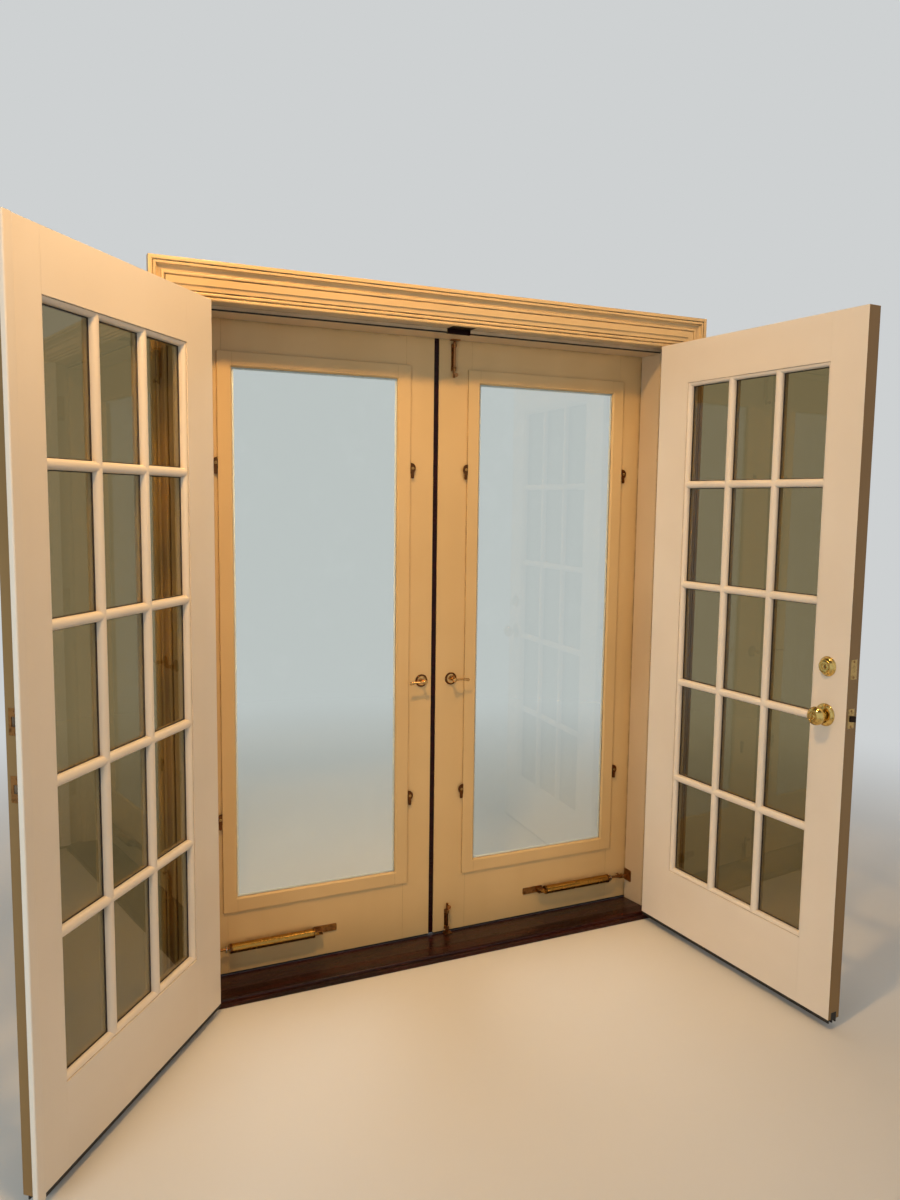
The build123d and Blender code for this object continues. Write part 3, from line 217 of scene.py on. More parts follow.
def makePaint(name, kind, turn=0.0, along="z"):
    spec, look = paintKinds[kind], paintLook
    material, tree, surface, place = startMaterial(name)
    brush = useEffect(tree, "brush", stretched(tree, place, -math.radians(turn), look["stretch"][along]))
    wear = useEffect(tree, "wear", place, Radius=look["edge"], Amount=spec["wear"])
    shadeAndGrime = useEffect(tree, "shadeAndGrime", place, Distance=spec.get("reach", look["reach"]), Amount=spec["shadeAndGrimeAmount"])
    blotch = rampNode(tree, addNoise(tree, place, Scale=2.6, Detail=3.0), 0.3, 0.75)
    tone = mathNode(tree, "MULTIPLY", blotch, look["blotch"])
    color = mixColor(tree, tone, srgb(*spec["color"]), srgb(*spec["shade"]))
    streak = mathNode(tree, "MULTIPLY", rampNode(tree, brush["Tone"], 0.4, 0.7), look["streak"])
    color = mixColor(tree, streak, color, srgb(*spec["shade"]))
    color = mixColor(tree, wear["Mask"], color, srgb(*spec["under"]))
    # Darker in corners, creases and recesses: painted shade, with some dirt
    color = mixColor(tree, shadeAndGrime["Mask"], color, srgb(*spec["shadeAndGrime"]))
    rough = mathNode(tree, "MULTIPLY_ADD", brush["Tone"], 0.16, spec["rough"] - 0.08)
    rough = mathNode(tree, "MULTIPLY_ADD", shadeAndGrime["Mask"], 0.3, rough, clamp=True)
    fill(tree, surface, {"Base Color": color, "Roughness": rough, "Specular IOR Level": look["shine"]})
    addBump(tree, surface, brush["Height"], look["bump"], look["bumpDepth"], wear["Normal"])
    return material


# Stained and varnished wood of the sill

sillLook = {"board": ((27, 7, 5), (52, 15, 10)), "strip": ((24, 6, 6), (40, 11, 10)), "worn": (132, 72, 46),
            "rough": 0.26, "coat": {"board": 0.12, "strip": 0.0}, "shine": {"board": 0.2, "strip": 0.12}}


def makeSillWood(name, stain="board", worn=0.5):
    material, tree, surface, place = startMaterial(name)
    long = stretched(tree, place, 0, (0.06, 1, 1))
    rings = addNoise(tree, long, Scale=46.0, Detail=6.0, Roughness=0.62, Distortion=0.5)
    pores = addNoise(tree, long, Scale=520.0, Detail=2.0)
    dark, light = sillLook[stain]
    color = mixColor(tree, rampNode(tree, rings, 0.36, 0.66), srgb(*dark), srgb(*light))
    wear = useEffect(tree, "wear", place, Radius=0.003, Amount=worn, Patchiness=14.0)
    color = mixColor(tree, wear["Mask"], color, srgb(*sillLook["worn"]))
    rough = mathNode(tree, "MULTIPLY_ADD", pores, 0.25, sillLook["rough"] - 0.1)
    fill(tree, surface, {"Base Color": color, "Roughness": rough, "Coat Roughness": 0.12,
                         "Specular IOR Level": sillLook["shine"][stain], "Coat Weight": sillLook["coat"][stain]})
    addBump(tree, surface, pores, 0.3, 0.0004, wear["Normal"])
    return material


# Metals

metalKinds = {
    # On the polished brass the dark patches are mostly painted dark reflections, with some tarnish
    "polishedBrass": {"color": (222, 192, 116), "tarnishAndReflection": (84, 54, 24), "rough": 0.06, "more": 0.14,
                      "spread": 0.28, "bump": 0.006, "turned": True},
    "leverBrass": {"color": (214, 168, 106), "tarnishAndReflection": (104, 66, 34), "rough": 0.12, "spread": 0.28,
                   "bump": 0.01, "turned": True},
    "shadowBrass": {"color": (112, 68, 34), "tarnishAndReflection": (56, 34, 18), "rough": 0.22, "spread": 0.3, "bump": 0.05},
    "satinBrass": {"color": (194, 158, 98), "tarnishAndReflection": (124, 92, 52), "rough": 0.3, "spread": 0.3, "bump": 0.08},
    "agedBrass": {"color": (160, 114, 66), "tarnishAndReflection": (88, 58, 34), "rough": 0.3, "more": 0.3,
                  "spread": 0.36, "bump": 0.12},
    "boltBrass": {"color": (152, 104, 62), "tarnishAndReflection": (108, 70, 40), "rough": 0.18, "more": 0.15,
                  "spread": 0.2, "bump": 0.02, "turned": True},
    "darkBronze": {"color": (58, 46, 38), "tarnishAndReflection": (26, 20, 17), "rough": 0.42, "spread": 0.4, "bump": 0.12},
    "closerGold": {"color": (172, 132, 64), "tarnishAndReflection": (112, 78, 36), "rough": 0.24, "spread": 0.22,
                   "bump": 0.02, "turned": True},
    "steel": {"color": (188, 186, 180), "tarnishAndReflection": (110, 104, 96), "rough": 0.26, "spread": 0.25, "bump": 0.06},
}


def makeMetal(name, kind):
    spec = metalKinds[kind]
    material, tree, surface, place = startMaterial(name)
    tarnishAndReflection = useEffect(tree, "tarnishAndReflection", place, Scale=70.0, Spread=spec["spread"])
    wear = useEffect(tree, "wear", place, Radius=0.0007, Amount=0.4, Patchiness=60.0)
    shadeAndGrime = useEffect(tree, "shadeAndGrime", place, Distance=0.006, Amount=0.6)
    clean, dull = srgb(*spec["color"]), srgb(*spec["tarnishAndReflection"])
    color = mixColor(tree, tarnishAndReflection["Mask"], clean, dull)
    color = mixColor(tree, wear["Mask"], color, tuple(min(1.0, value * 1.25) for value in clean))
    # Darker in crevices: painted shade, with some dirt
    color = mixColor(tree, shadeAndGrime["Mask"], color, tuple(value * 0.25 for value in dull))
    rough = mathNode(tree, "MULTIPLY_ADD", tarnishAndReflection["Mask"], spec.get("more", 0.2), spec["rough"])
    fill(tree, surface, {"Base Color": color, "Roughness": rough, "Metallic": 1.0})
    softEdge = None if spec.get("turned") else wear["Normal"]  # a turned piece has its own rounded edges
    addBump(tree, surface, tarnishAndReflection["Height"], spec["bump"], 0.0002, softEdge)
    return material


# Rubber, vinyl and glass

rubberLook = {"black": ((22, 21, 20), (86, 80, 72)), "pale": ((190, 166, 132), (160, 134, 100)),
              "white": ((240, 241, 238), (214, 213, 206)), "rough": 0.6}


def makeRubber(name, shade="black"):
    material, tree, surface, place = startMaterial(name)
    color, dusty = rubberLook[shade]
    dust = addNoise(tree, place, Scale=60.0, Detail=5.0)
    mask = mathNode(tree, "MULTIPLY", rampNode(tree, dust, 0.5, 0.8), 0.5)
    fill(tree, surface, {"Base Color": mixColor(tree, mask, srgb(*color), srgb(*dusty)),
                         "Roughness": mathNode(tree, "MULTIPLY_ADD", mask, 0.4, rubberLook["rough"])})
    addBump(tree, surface, dust, 0.15, 0.0003)
    return material


# The leaf panes' olive-brown tint is painted shade, standing in for the dim view seen through them
glassLook = {"leaf": (142, 127, 90), "storm": (232, 238, 234), "hazeUp": 3, "shadow": 0.9, "film": 0.015}


def makeGlass(name, pane, wave):
    material, tree, surface, place = startMaterial(name)
    film = rampNode(tree, addNoise(tree, place, Scale=9.0, Detail=5.0, Roughness=0.6), 0.5, 0.85)
    hazy = tuple(value + glassLook["hazeUp"] for value in glassLook[pane])
    shadowRay = addNode(tree, "ShaderNodeLightPath").outputs["Is Shadow Ray"]
    fill(tree, surface, {"Base Color": mixColor(tree, film, srgb(*glassLook[pane]), srgb(*hazy)),
                         "Roughness": mathNode(tree, "MULTIPLY", film, glassLook["film"]),
                         "Transmission Weight": 1.0, "IOR": 1.5,
                         "Alpha": mathNode(tree, "MULTIPLY_ADD", shadowRay, -glassLook["shadow"], 1.0)})
    addBump(tree, surface, addNoise(tree, place, Scale=4.0, Detail=1.0), wave, 0.002)
    return material


# The carried-over nodes get their finishes

def dress(name, material):
    mesh = nodes[name].data
    mesh.materials.clear()
    mesh.materials.append(material)


def dressFaces(name, material, wanted):  # another finish where wanted(middle of a face) is true
    mesh = nodes[name].data
    mesh.materials.append(material)
    number = len(mesh.materials) - 1
    for face in mesh.polygons:
        if wanted(face.center):
            face.material_index = number


finish = {"shadedLeafEdge": makePaint("shadedLeafEdgePaint", "edgePaintAndShade"),
          "sill": makeSillWood("sillWood"),
          "darkStripAndShade": makeSillWood("darkStripWoodAndShade", "strip", worn=0.1),
          "rubber": makeRubber("blackRubber"),
          "paleSeal": makeRubber("paleSeal", "pale"),
          "keySlotShade": makeRubber("keySlotShade"),
          "whiteStripAndHighlight": makeRubber("whiteStripAndHighlight", "white"),
          "leafGlass": makeGlass("leafGlass", "leaf", 0.05),
          "stormGlass": makeGlass("stormGlass", "storm", 0.03)}
for part in ("frame", "casing", "outer", "storm"):
    finish[part + "Up"] = makePaint(part + "PaintUpright", part + "Paint")
for part in ("frame", "casing"):
    finish[part + "Across"] = makePaint(part + "PaintAcross", part + "Paint", along="x")
for side, swing in leafSwing.items():
    finish[side + "Up"] = makePaint(side + "LeafPaintUpright", "leafPaint")
    finish[side + "Across"] = makePaint(side + "LeafPaintAcross", "leafPaint", turn=swing["angle"], along="x")
for kind in metalKinds:
    finish[kind] = makeMetal(kind, kind)

frameDress = {
    "jamb_left": "frameUp", "jamb_right": "frameUp", "head_jamb": "frameAcross", "exterior_casing": "outerUp",
    "sill": "sill", "weatherstrips": "rubber", "jamb_hinges": "satinBrass", "frame_strikes": "darkBronze",
    "closer_jamb_brackets": "agedBrass",
}
leafDress = {  # after "left_" or "right_"; the leaves' own paints begin with the side
    "stiles": "Up", "grille": "Up", "beads": "Up", "rails": "Across", "panes": "leafGlass", "sweep": "rubber",
    "hinges": "satinBrass",
}
stormDress = {  # after "storm_left_" or "storm_right_"
    "frame": "stormUp", "insert": "stormUp", "glass": "stormGlass", "hinges": "darkBronze",
    "fittings": "agedBrass", "closer_tube": "closerGold", "closer_rod": "agedBrass",
    **{f"button_{number}": "shadowBrass" for number in range(1, 5)},
}
lockDress = {
    "left_astragal": "leftUp", "left_strikes": "agedBrass", "left_sill_bolt": "satinBrass",
    "left_head_bolt": "satinBrass", "right_thumb_turn": "polishedBrass", "right_deadbolt": "polishedBrass",
    # The latch bolt's dark bronze is painted shade, darker than its own brass
    "right_latch": "darkBronze", "storm_latch": "boltBrass", "storm_head_bolt": "boltBrass",
    "storm_sill_bolt": "boltBrass",
}
for name, kind in {**frameDress, **lockDress}.items():
    dress(name, finish[kind])
for side in leafSwing:
    for name, kind in leafDress.items():
        dress(f"{side}_{name}", finish[side + kind if kind in ("Up", "Across") else kind])
    for name, kind in stormDress.items():
        dress(f"storm_{side}_{name}", finish[kind])

# Where one node has a second finish, in metres
zone = {"plateMiddle": 0.017, "plateHalf": 0.0415, "plateFrom": 0.045, "plateTo": 0.0605, "plateTop": 2.0672,
        "sealSide": 0.8028, "sealTop": 2.048, "stormHinges": 0.1, "stormStrikes": 0.12, "leverSide": 0.2,
        "leverLow": 0.8, "leverHigh": 1.0, "pistonFrom": 0.722, "pistonTo": 0.7255, "stripEdge": -0.0021,
        "rightEdge": -0.0085, "leftEdge": -0.0145, "astragalFace": 0.0444}
shut = {side: leafMatrix(side).inverted() for side in leafSwing}

# The notch in the head jamb gets the near-black strip wood: painted shade of its recess
dressFaces("head_jamb", finish["darkStripAndShade"],
           lambda c: abs(c.x - zone["plateMiddle"]) < zone["plateHalf"]
           and zone["plateFrom"] < c.y < zone["plateTo"] and c.z < zone["plateTop"])
dressFaces("weatherstrips", finish["paleSeal"], lambda c: abs(c.x) > zone["sealSide"] and c.z < zone["sealTop"])
dressFaces("jamb_hinges", finish["darkBronze"], lambda c: c.y > zone["stormHinges"])
dressFaces("frame_strikes", finish["agedBrass"], lambda c: c.y > zone["stormStrikes"])
for side in leafSwing:
    dressFaces(f"storm_{side}_fittings", finish["leverBrass"],
               lambda c: abs(c.x) < zone["leverSide"] and zone["leverLow"] < c.z < zone["leverHigh"])
    dressFaces(f"storm_{side}_closer_rod", finish["steel"],
               lambda c: zone["pistonFrom"] < abs(c.x) < zone["pistonTo"])
# The meeting strip of the right storm door: dark maroon paint, partly painted shade of its recessed gap
dressFaces("storm_right_frame", finish["darkStripAndShade"], lambda c: c.x < zone["stripEdge"])
# The latch edges get the darker brown, partly painted shade
dressFaces("right_stiles", finish["shadedLeafEdge"], lambda c: (shut["right"] @ c).x < zone["rightEdge"])
dressFaces("left_stiles", finish["shadedLeafEdge"], lambda c: (shut["left"] @ c).x > zone["leftEdge"])
dressFaces("left_astragal", finish["shadedLeafEdge"], lambda c: (shut["left"] @ c).y < zone["astragalFace"])
print("finishes on", len(nodes), "nodes")

# Pieces made here are drawn shut and in millimetres, then swung open with their leaf

def placing(at, toward, turn=0.0):  # local Z goes along toward, local X stays level
    ahead = Vector(toward).normalized()
    side = Vector((0, 0, 1)).cross(ahead)
    side = Vector((1, 0, 0)) if side.length < 0.01 else side.normalized()
    basis = Matrix((side, ahead.cross(side), ahead)).transposed().to_4x4()
    return Matrix.Translation(Vector(at)) @ basis @ Matrix.Rotation(math.radians(turn), 4, "Z")


def softened(points, reach, steps=5):  # the same run of points with its inner corners rounded
    points = [Vector(point) for point in points]
    run = [points[0]]
    for before, corner, after in zip(points, points[1:], points[2:]):
        back, on = before - corner, after - corner
        start = corner + back.normalized() * min(reach, back.length * 0.48)
        end = corner + on.normalized() * min(reach, on.length * 0.48)
        for step in range(steps + 1):
            part = step / steps
            run.append(start * (1 - part) ** 2 + corner * 2 * part * (1 - part) + end * part ** 2)
    run.append(points[-1])
    return run


def addRings(shape, rings):  # skins neighbouring rings; a ring of one point closes the end
    for low, high in zip(rings, rings[1:]):
        count = max(len(low), len(high))
        for number in range(count):
            after = (number + 1) % count
            face = [low[number % len(low)], low[after % len(low)]]
            face += [high[after % len(high)], high[number % len(high)]]
            face = list(dict.fromkeys(face))
            if len(face) > 2:
                shape.faces.new(face)


def addTurned(shape, outline, basis, steps=72):  # outline: (radius, height) from one end to the other
    rings = []
    for radius, height in outline:
        if radius < 0.001:
            rings.append([shape.verts.new(basis @ Vector((0, 0, height)))])
            continue
        angles = (2 * math.pi * number / steps for number in range(steps))
        rings.append([shape.verts.new(basis @ Vector((radius * math.cos(a), radius * math.sin(a), height)))
                      for a in angles])
    addRings(shape, rings)
    return rings


def addPlate(shape, outline, low, high, basis, bevel=0.0):  # a flat piece, its lid with eased edges
    foot = [shape.verts.new(basis @ Vector((x, y, low))) for x, y in outline]
    top = [shape.verts.new(basis @ Vector((x, y, high))) for x, y in outline]
    shape.faces.new(list(reversed(foot)))
    lid = shape.faces.new(top)
    for number in range(len(outline)):
        after = (number + 1) % len(outline)
        shape.faces.new((foot[number], foot[after], top[after], top[number]))
    if bevel:
        bmesh.ops.bevel(shape, geom=list(lid.edges), offset=bevel, segments=3, profile=0.6, affect="EDGES")


corners = ((1, 1), (-1, 1), (-1, -1), (1, -1))  # which way each corner of a rectangle lies


def box2d(width, height, corner, steps=4):  # a rectangle round the middle with rounded corners
    points = []
    for turn, (sx, sy) in enumerate(corners):
        cx, cy = sx * (width / 2 - corner), sy * (height / 2 - corner)
        for step in range(steps + 1):
            angle = math.pi / 2 * (turn + step / steps)
            points.append((cx + corner * math.cos(angle), cy + corner * math.sin(angle)))
    return points


def addBorder(shape, middle, half, section):  # a closed rectangle; section: (reach past half, y)
    rings = [[shape.verts.new((middle[0] + sx * (half[0] + reach), y, middle[1] + sz * (half[1] + reach)))
              for sx, sz in corners] for reach, y in section]
    addRings(shape, rings + [rings[0]])


def makePiece(name, shape, material, body, side=None, creaseAngle=38):
    bmesh.ops.recalc_face_normals(shape, faces=shape.faces)
    mesh = bpy.data.meshes.new(name)
    shape.to_mesh(mesh)
    shape.free()
    mesh.transform(Matrix.Scale(0.001, 4))
    if side:
        mesh.transform(leafMatrix(side))
    mesh.shade_smooth()
    mesh.set_sharp_from_angle(angle=math.radians(creaseAngle))
    mesh.materials.append(material)
    piece = bpy.data.objects.new(name, mesh)
    scene.collection.objects.link(piece)
    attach(piece, body)
    return piece


# The room-side casing again, with its coves and beads drawn fully

casingLook = {"inner": 835.0, "under": 2066.0, "foot": 0.0}
casingSection = [  # (distance from the opening, how far it stands out), or an arc in such places
    (0, 0), {"middle": (5, 5.4), "radii": (-5, 4.8), "angles": range(0, 181, 15)},
    (10.3, 4.6), (11.5, 4.6), {"middle": (16.4, 7.6), "radii": (-4.8, 4.0), "angles": range(0, 181, 15)},
    (21.5, 5.6), (22.8, 5.6), (23.2, 11.2), (24, 11.8), (32.6, 12.4), (34.4, 12.9), (36.2, 14.1), (37.3, 16.2),
    (37.8, 17.2), (57, 17.8), (57.4, 12.4), (59, 12.4),
    {"middle": (64.4, 14.6), "radii": (-5.2, 4.9), "angles": range(0, 166, 15)},
    {"middle": (70.4, 28.6), "radii": (13.0, -12.4), "angles": range(84, -1, -7)},  # the cove
    (83.9, 29.1), (84.8, 29.4), (90.2, 29.4), (90.9, 24.6), (92.2, 24.6), (92.6, 30.2), (93.6, 31),
    (101.2, 31), (103.3, 30.2), (104, 28.2), (104, 0),
]


def casingProfile():
    run = []
    for item in casingSection:
        if isinstance(item, tuple):
            run.append(item)
            continue
        (x, y), (wide, high) = item["middle"], item["radii"]
        for degrees in item["angles"]:
            angle = math.radians(degrees)
            run.append((x + wide * math.cos(angle), y + high * math.sin(angle)))
    return run


def makeCasing():
    shape = bmesh.new()
    inner, under, foot = (casingLook[key] for key in ("inner", "under", "foot"))
    stations = [lambda t: (-inner - t, foot), lambda t: (-inner - t, under + t),
                lambda t: (inner + t, under + t), lambda t: (inner + t, foot)]
    rings = []
    for station in stations:
        places = [(station(t), proud) for t, proud in casingProfile()]
        rings.append([shape.verts.new((x, -proud, z)) for (x, z), proud in places])
    addRings(shape, rings)
    for end in (rings[0], rings[-1]):
        shape.faces.new(end)
    casing = makePiece("roomCasing", shape, finish["casingUp"], "frame", creaseAngle=32)
    casing.data.materials.append(finish["casingAcross"])
    for face in casing.data.polygons:  # the head's faces have their middle over the opening
        if face.center.z > under / 1000 - 0.001 and abs(face.center.x) < 0.1:
            face.material_index = 1
    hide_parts("interior_casing")


# Lock of the right leaf: knobs, roses, key cylinder, plates

lock = {"side": 61.0, "knob": 926.0, "bolt": 1067.0, "edge": -9.0, "thickness": 44.5, "rose": 33.0,
        "roseDepth": 9.0, "ball": 27.0, "ballSquash": 0.72, "reach": 58.0, "spindle": (8, 8, 0.8, 2),
        "cylinder": 29.0, "cylinderDepth": 15.0, "faceplate": (25.4, 57, 4.5), "faceplateThick": 2.5,
        "case": 12.6, "caseDepth": 50.0, "slot": (1.7, 8.6, 0.7, 2), "slotMiddle": (4.2, 3.0, 1.2, 3),
        "turnPlate": [(6.1, 0), (29, 0), (29, 1.8), (27.4, 3.4), (24, 5.2), (18, 5.9), (7.4, 6), (6.1, 5.4),
                      (6.1, 0.1)]}


def knobOutline():
    r, reach, deep = lock["ball"], lock["reach"], lock["roseDepth"]
    run = softened([(0, 1), (11.9, 1), (11.9, deep + 4.5), (10.2, deep + 8), (10.6, reach - r * 1.28)], 1.6)
    flat = r * lock["ballSquash"]
    belly = [(r * math.cos(math.radians(a)), reach - flat + flat * math.sin(math.radians(a)))
             for a in range(-56, 47, 6)]
    run += [Vector(point) for point in belly]
    lip = belly[-1]
    face = [lip, (lip[0] - 2.6, lip[1] + 1.5), (13.6, lip[1] + 1.6), (12.6, lip[1] - 0.4), (10.2, lip[1] - 0.4),
            (9.4, reach - 2.4), (7.4, reach - 0.7), (2.6, reach - 0.2), (0, reach)]
    return run + softened(face, 0.8, 3)[1:]


def makeKnobs():
    shape = bmesh.new()
    for y, toward in ((lock["thickness"], 1), (0, -1)):
        addTurned(shape, knobOutline(), placing((lock["side"], y, lock["knob"]), (0, toward, 0)))
    across = placing((lock["side"], 0, lock["knob"]), (0, 1, 0))
    addPlate(shape, box2d(*lock["spindle"]), -8, lock["thickness"] + 8, across)
    knobs = makePiece("doorKnobs", shape, finish["polishedBrass"], "knobs", "right")
    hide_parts("right_knobs")


def addRose(shape, y, toward):
    r, deep = lock["rose"], lock["roseDepth"]
    points = [(12.1, 0), (r, 0), (r, 1.6), (r - 1.2, 3.2), (r - 3.4, 3.5), (r - 4.2, 4.6), (r - 9.5, 7.6),
              (r - 15, deep - 0.4), (12.9, deep), (12.1, deep - 0.6), (12.1, 0.1)]
    addTurned(shape, softened(points, 1.3, 4), placing((lock["side"], y, lock["knob"]), (0, toward, 0)))


def addKeyCylinder(shape):
    r, deep = lock["cylinder"], lock["cylinderDepth"]
    face = placing((lock["side"], lock["thickness"], lock["bolt"]), (0, 1, 0))
    guard = softened([(0, 0), (r, 0), (r, 1.8), (r - 1.0, 3.0), (r - 2.6, 3.4), (r - 4.4, 8.4),
                      (r - 9.0, deep - 0.5), (16.6, deep), (15.9, deep - 1.6), (0, deep - 1.6)], 1.5, 4)
    addTurned(shape, guard, face)
    plug = softened([(15.2, deep - 1.6), (15.2, deep - 0.6), (14.4, deep - 0.2), (8.2, deep - 0.2),
                     (7.8, deep - 0.9), (7.2, deep - 0.9), (6.8, deep - 0.1), (0, deep - 0.1)], 0.4, 3)
    addTurned(shape, plug, face, 48)


def addCase(shape, z):
    edge = placing((lock["edge"], lock["thickness"] / 2, z), (-1, 0, 0))
    r, front, back = lock["case"], -lock["faceplateThick"], -lock["caseDepth"]
    addPlate(shape, box2d(*lock["faceplate"]), front, 0, edge, bevel=0.5)
    addTurned(shape, [(0, back), (r, back), (r, front), (0, front)], edge, 40)


def makeLockTrim():
    shape = bmesh.new()
    addRose(shape, lock["thickness"], 1)
    addRose(shape, 0, -1)
    addKeyCylinder(shape)
    inside = placing((lock["side"], 0, lock["bolt"]), (0, -1, 0))
    addTurned(shape, softened(lock["turnPlate"], 1.4, 4), inside)
    trim = makePiece("lockRosesAndCylinder", shape, finish["polishedBrass"], "right_leaf",
                     "right")
    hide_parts("right_lock_trim")
    shape = bmesh.new()
    addCase(shape, lock["knob"])
    addCase(shape, lock["bolt"])
    cases = makePiece("lockCases", shape, finish["satinBrass"], "right_leaf", "right")
    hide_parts("right_lock_trim")
    shape = bmesh.new()
    # A black plate in the key cylinder's face: painted shade of the key slot
    slot = placing((lock["side"], lock["thickness"] + lock["cylinderDepth"] - 0.05, lock["bolt"]), (0, 1, 0))
    addPlate(shape, box2d(*lock["slot"]), -3, 0, slot)
    addPlate(shape, box2d(*lock["slotMiddle"]), -3, 0.02, slot)
    makePiece("keySlot", shape, finish["keySlotShade"], "right_leaf", "right")


# Screws, each with a cross slot, one piece for each body

screwLook = {"crown": 0.16, "armWidth": 0.15, "armLength": 0.62, "depth": 0.3, "taper": 0.8, "steps": 20}


def screwTemplate():  # of radius 1
    shape = bmesh.new()
    high, steps = screwLook["crown"], screwLook["steps"]
    outline = [(1.0, 0.0), (1.0, 0.05), (0.93, high * 0.75), (0.82, high)]
    crown = addTurned(shape, outline, Matrix.Identity(4), steps)[-1]
    a, b = screwLook["armWidth"], screwLook["armLength"]
    cross = [(a, a), (a, b), (-a, b), (-a, a), (-b, a), (-b, -a), (-a, -a), (-a, -b), (a, -b), (a, -a), (b, -a),
             (b, a)]
    top = [shape.verts.new((x, y, high)) for x, y in cross]
    small = screwLook["taper"]
    deep = [shape.verts.new((x * small, y * small, high - screwLook["depth"])) for x, y in cross]
    inner = [shape.edges.new((top[n], top[(n + 1) % 12])) for n in range(12)]
    outer = [shape.edges.get((crown[n], crown[(n + 1) % steps])) for n in range(steps)]
    bmesh.ops.triangle_fill(shape, use_beauty=True, use_dissolve=False, edges=inner + outer, normal=(0, 0, 1))
    addRings(shape, [top, deep])
    shape.faces.new(deep)
    mesh = bpy.data.meshes.new("screwTemplate")
    shape.to_mesh(mesh)
    shape.free()
    return mesh


def makeScrews(name, spots, material, body, side=None):  # spots: (place, direction, radius)
    shape = bmesh.new()
    template = screwTemplate()
    for number, (at, toward, radius) in enumerate(spots):
        first = len(shape.verts)
        shape.from_mesh(template)
        shape.verts.ensure_lookup_table()
        basis = placing(at, toward, turn=(number * 47) % 90) @ Matrix.Scale(radius, 4)
        for vert in shape.verts[first:]:
            vert.co = basis @ vert.co
    bpy.data.meshes.remove(template)
    makePiece(name, shape, material, body, side, creaseAngle=30)


screwSpots = {"leafHinges": (284, 1085, 1886), "leafHingePlate": ((-40, 9), (-18, 22), (18, 22), (40, 9)),
              "stormHinges": (250, 1040, 1830), "stormHingePlate": (-34, 0, 34), "leafHingeFaces": (816, 814),
              "casingSide": (834, 194), "stormSide": (800, 192), "jambBracket": 800, "bracketDepths": (120, 149),
              "bracketHeights": (91, 123), "doorBracket": (364, 388), "doorBracketAt": (155, 107),
              "buttonHeights": (526, 1629), "buttonSides": (97, 734), "buttonFace": 147.2,
              "plateMiddle": 22.25, "plateScrews": (-22.5, 22.5), "strikeFace": -11.5, "turnPlate": (-19, 19),
              "turnPlateFace": -5.3}
screwRadius = {"hinge": 4.0, "stormHinge": 3.2, "bracket": 3.2, "plate": 3.4, "button": 4.4, "lock": 3.6}


def leafHingeSpots(x, hand):
    return [((x, y, z + up), (hand, 0, 0), screwRadius["hinge"]) for z in screwSpots["leafHinges"]
            for up, y in screwSpots["leafHingePlate"]]


def stormHingeSpots(hand, x, y):
    return [((hand * x, y, z + up), (0, 1, 0), screwRadius["stormHinge"]) for z in screwSpots["stormHinges"]
            for up in screwSpots["stormHingePlate"]]


def makeSideScrews(side, hand):
    brass, aged, at = finish["satinBrass"], finish["agedBrass"], screwSpots
    leaf, storm = side + "_leaf", "storm_" + side
    onJamb, onLeaf = at["leafHingeFaces"]
    makeScrews(side + "JambScrews", leafHingeSpots(hand * onJamb, -hand), brass, "frame")
    makeScrews(side + "LeafScrews", leafHingeSpots(hand * onLeaf, hand), brass, leaf, side)
    makeScrews(side + "CasingScrews", stormHingeSpots(hand, *at["casingSide"]), aged, "frame")
    makeScrews(side + "StormScrews", stormHingeSpots(hand, *at["stormSide"]), aged, storm)
    spots = [((hand * at["jambBracket"], y, z), (-hand, 0, 0), screwRadius["bracket"])
             for y in at["bracketDepths"] for z in at["bracketHeights"]]
    makeScrews(side + "BracketScrews", spots, aged, "frame")
    spots = [((hand * x, *at["doorBracketAt"]), (0, -1, 0), screwRadius["plate"]) for x in at["doorBracket"]]
    makeScrews(side + "DoorBracketScrews", spots, aged, storm)
    places = [(x, z) for z in at["buttonHeights"] for x in at["buttonSides"]]
    for number, (x, z) in enumerate(places, 1):
        spots = [((hand * x, at["buttonFace"], z), (0, -1, 0), screwRadius["button"])]
        makeScrews(f"{side}ButtonScrew{number}", spots, brass, f"{storm}_button_{number}")


def makeLockScrews():
    brass, aged, at = finish["satinBrass"], finish["agedBrass"], screwSpots
    heights = [lock[key] + up for key in ("knob", "bolt") for up in at["plateScrews"]]
    spots = [((lock["edge"], at["plateMiddle"], z), (-1, 0, 0), screwRadius["lock"]) for z in heights]
    makeScrews("faceplateScrews", spots, aged, "right_leaf", "right")
    spots = [((at["strikeFace"], at["plateMiddle"], z), (1, 0, 0), screwRadius["lock"]) for z in heights]
    makeScrews("strikeScrews", spots, aged, "left_leaf", "left")
    spots = [((lock["side"] + dx, at["turnPlateFace"], lock["bolt"]), (0, -1, 0), screwRadius["plate"])
             for dx in at["turnPlate"]]
    makeScrews("turnPlateScrews", spots, brass, "right_leaf", "right")


# Levers of the storm doors: a neck with a domed cap, and a curved arm

leverLook = {"height": 919.0, "reach": 40.0, "length": 56.0, "faces": (158.0, 190.0),
             "left": (-55.9, -1), "right": (53.6, 1), "armSteps": 22, "armSides": 18,
             "neck": [(0, 0.5), (7.4, 0.5), (7.4, 7.5), (6.0, 12), (5.6, 26), (7.2, 32), (7.4, 37.5), (5.2, 39.6),
                      (0, 40)],
             "ring": [(15.6, 0.2), (21.2, 0.2), (21.6, 2.4), (20.4, 4.2), (17.4, 5.4), (15.6, 5.0), (15.0, 3.4)]}


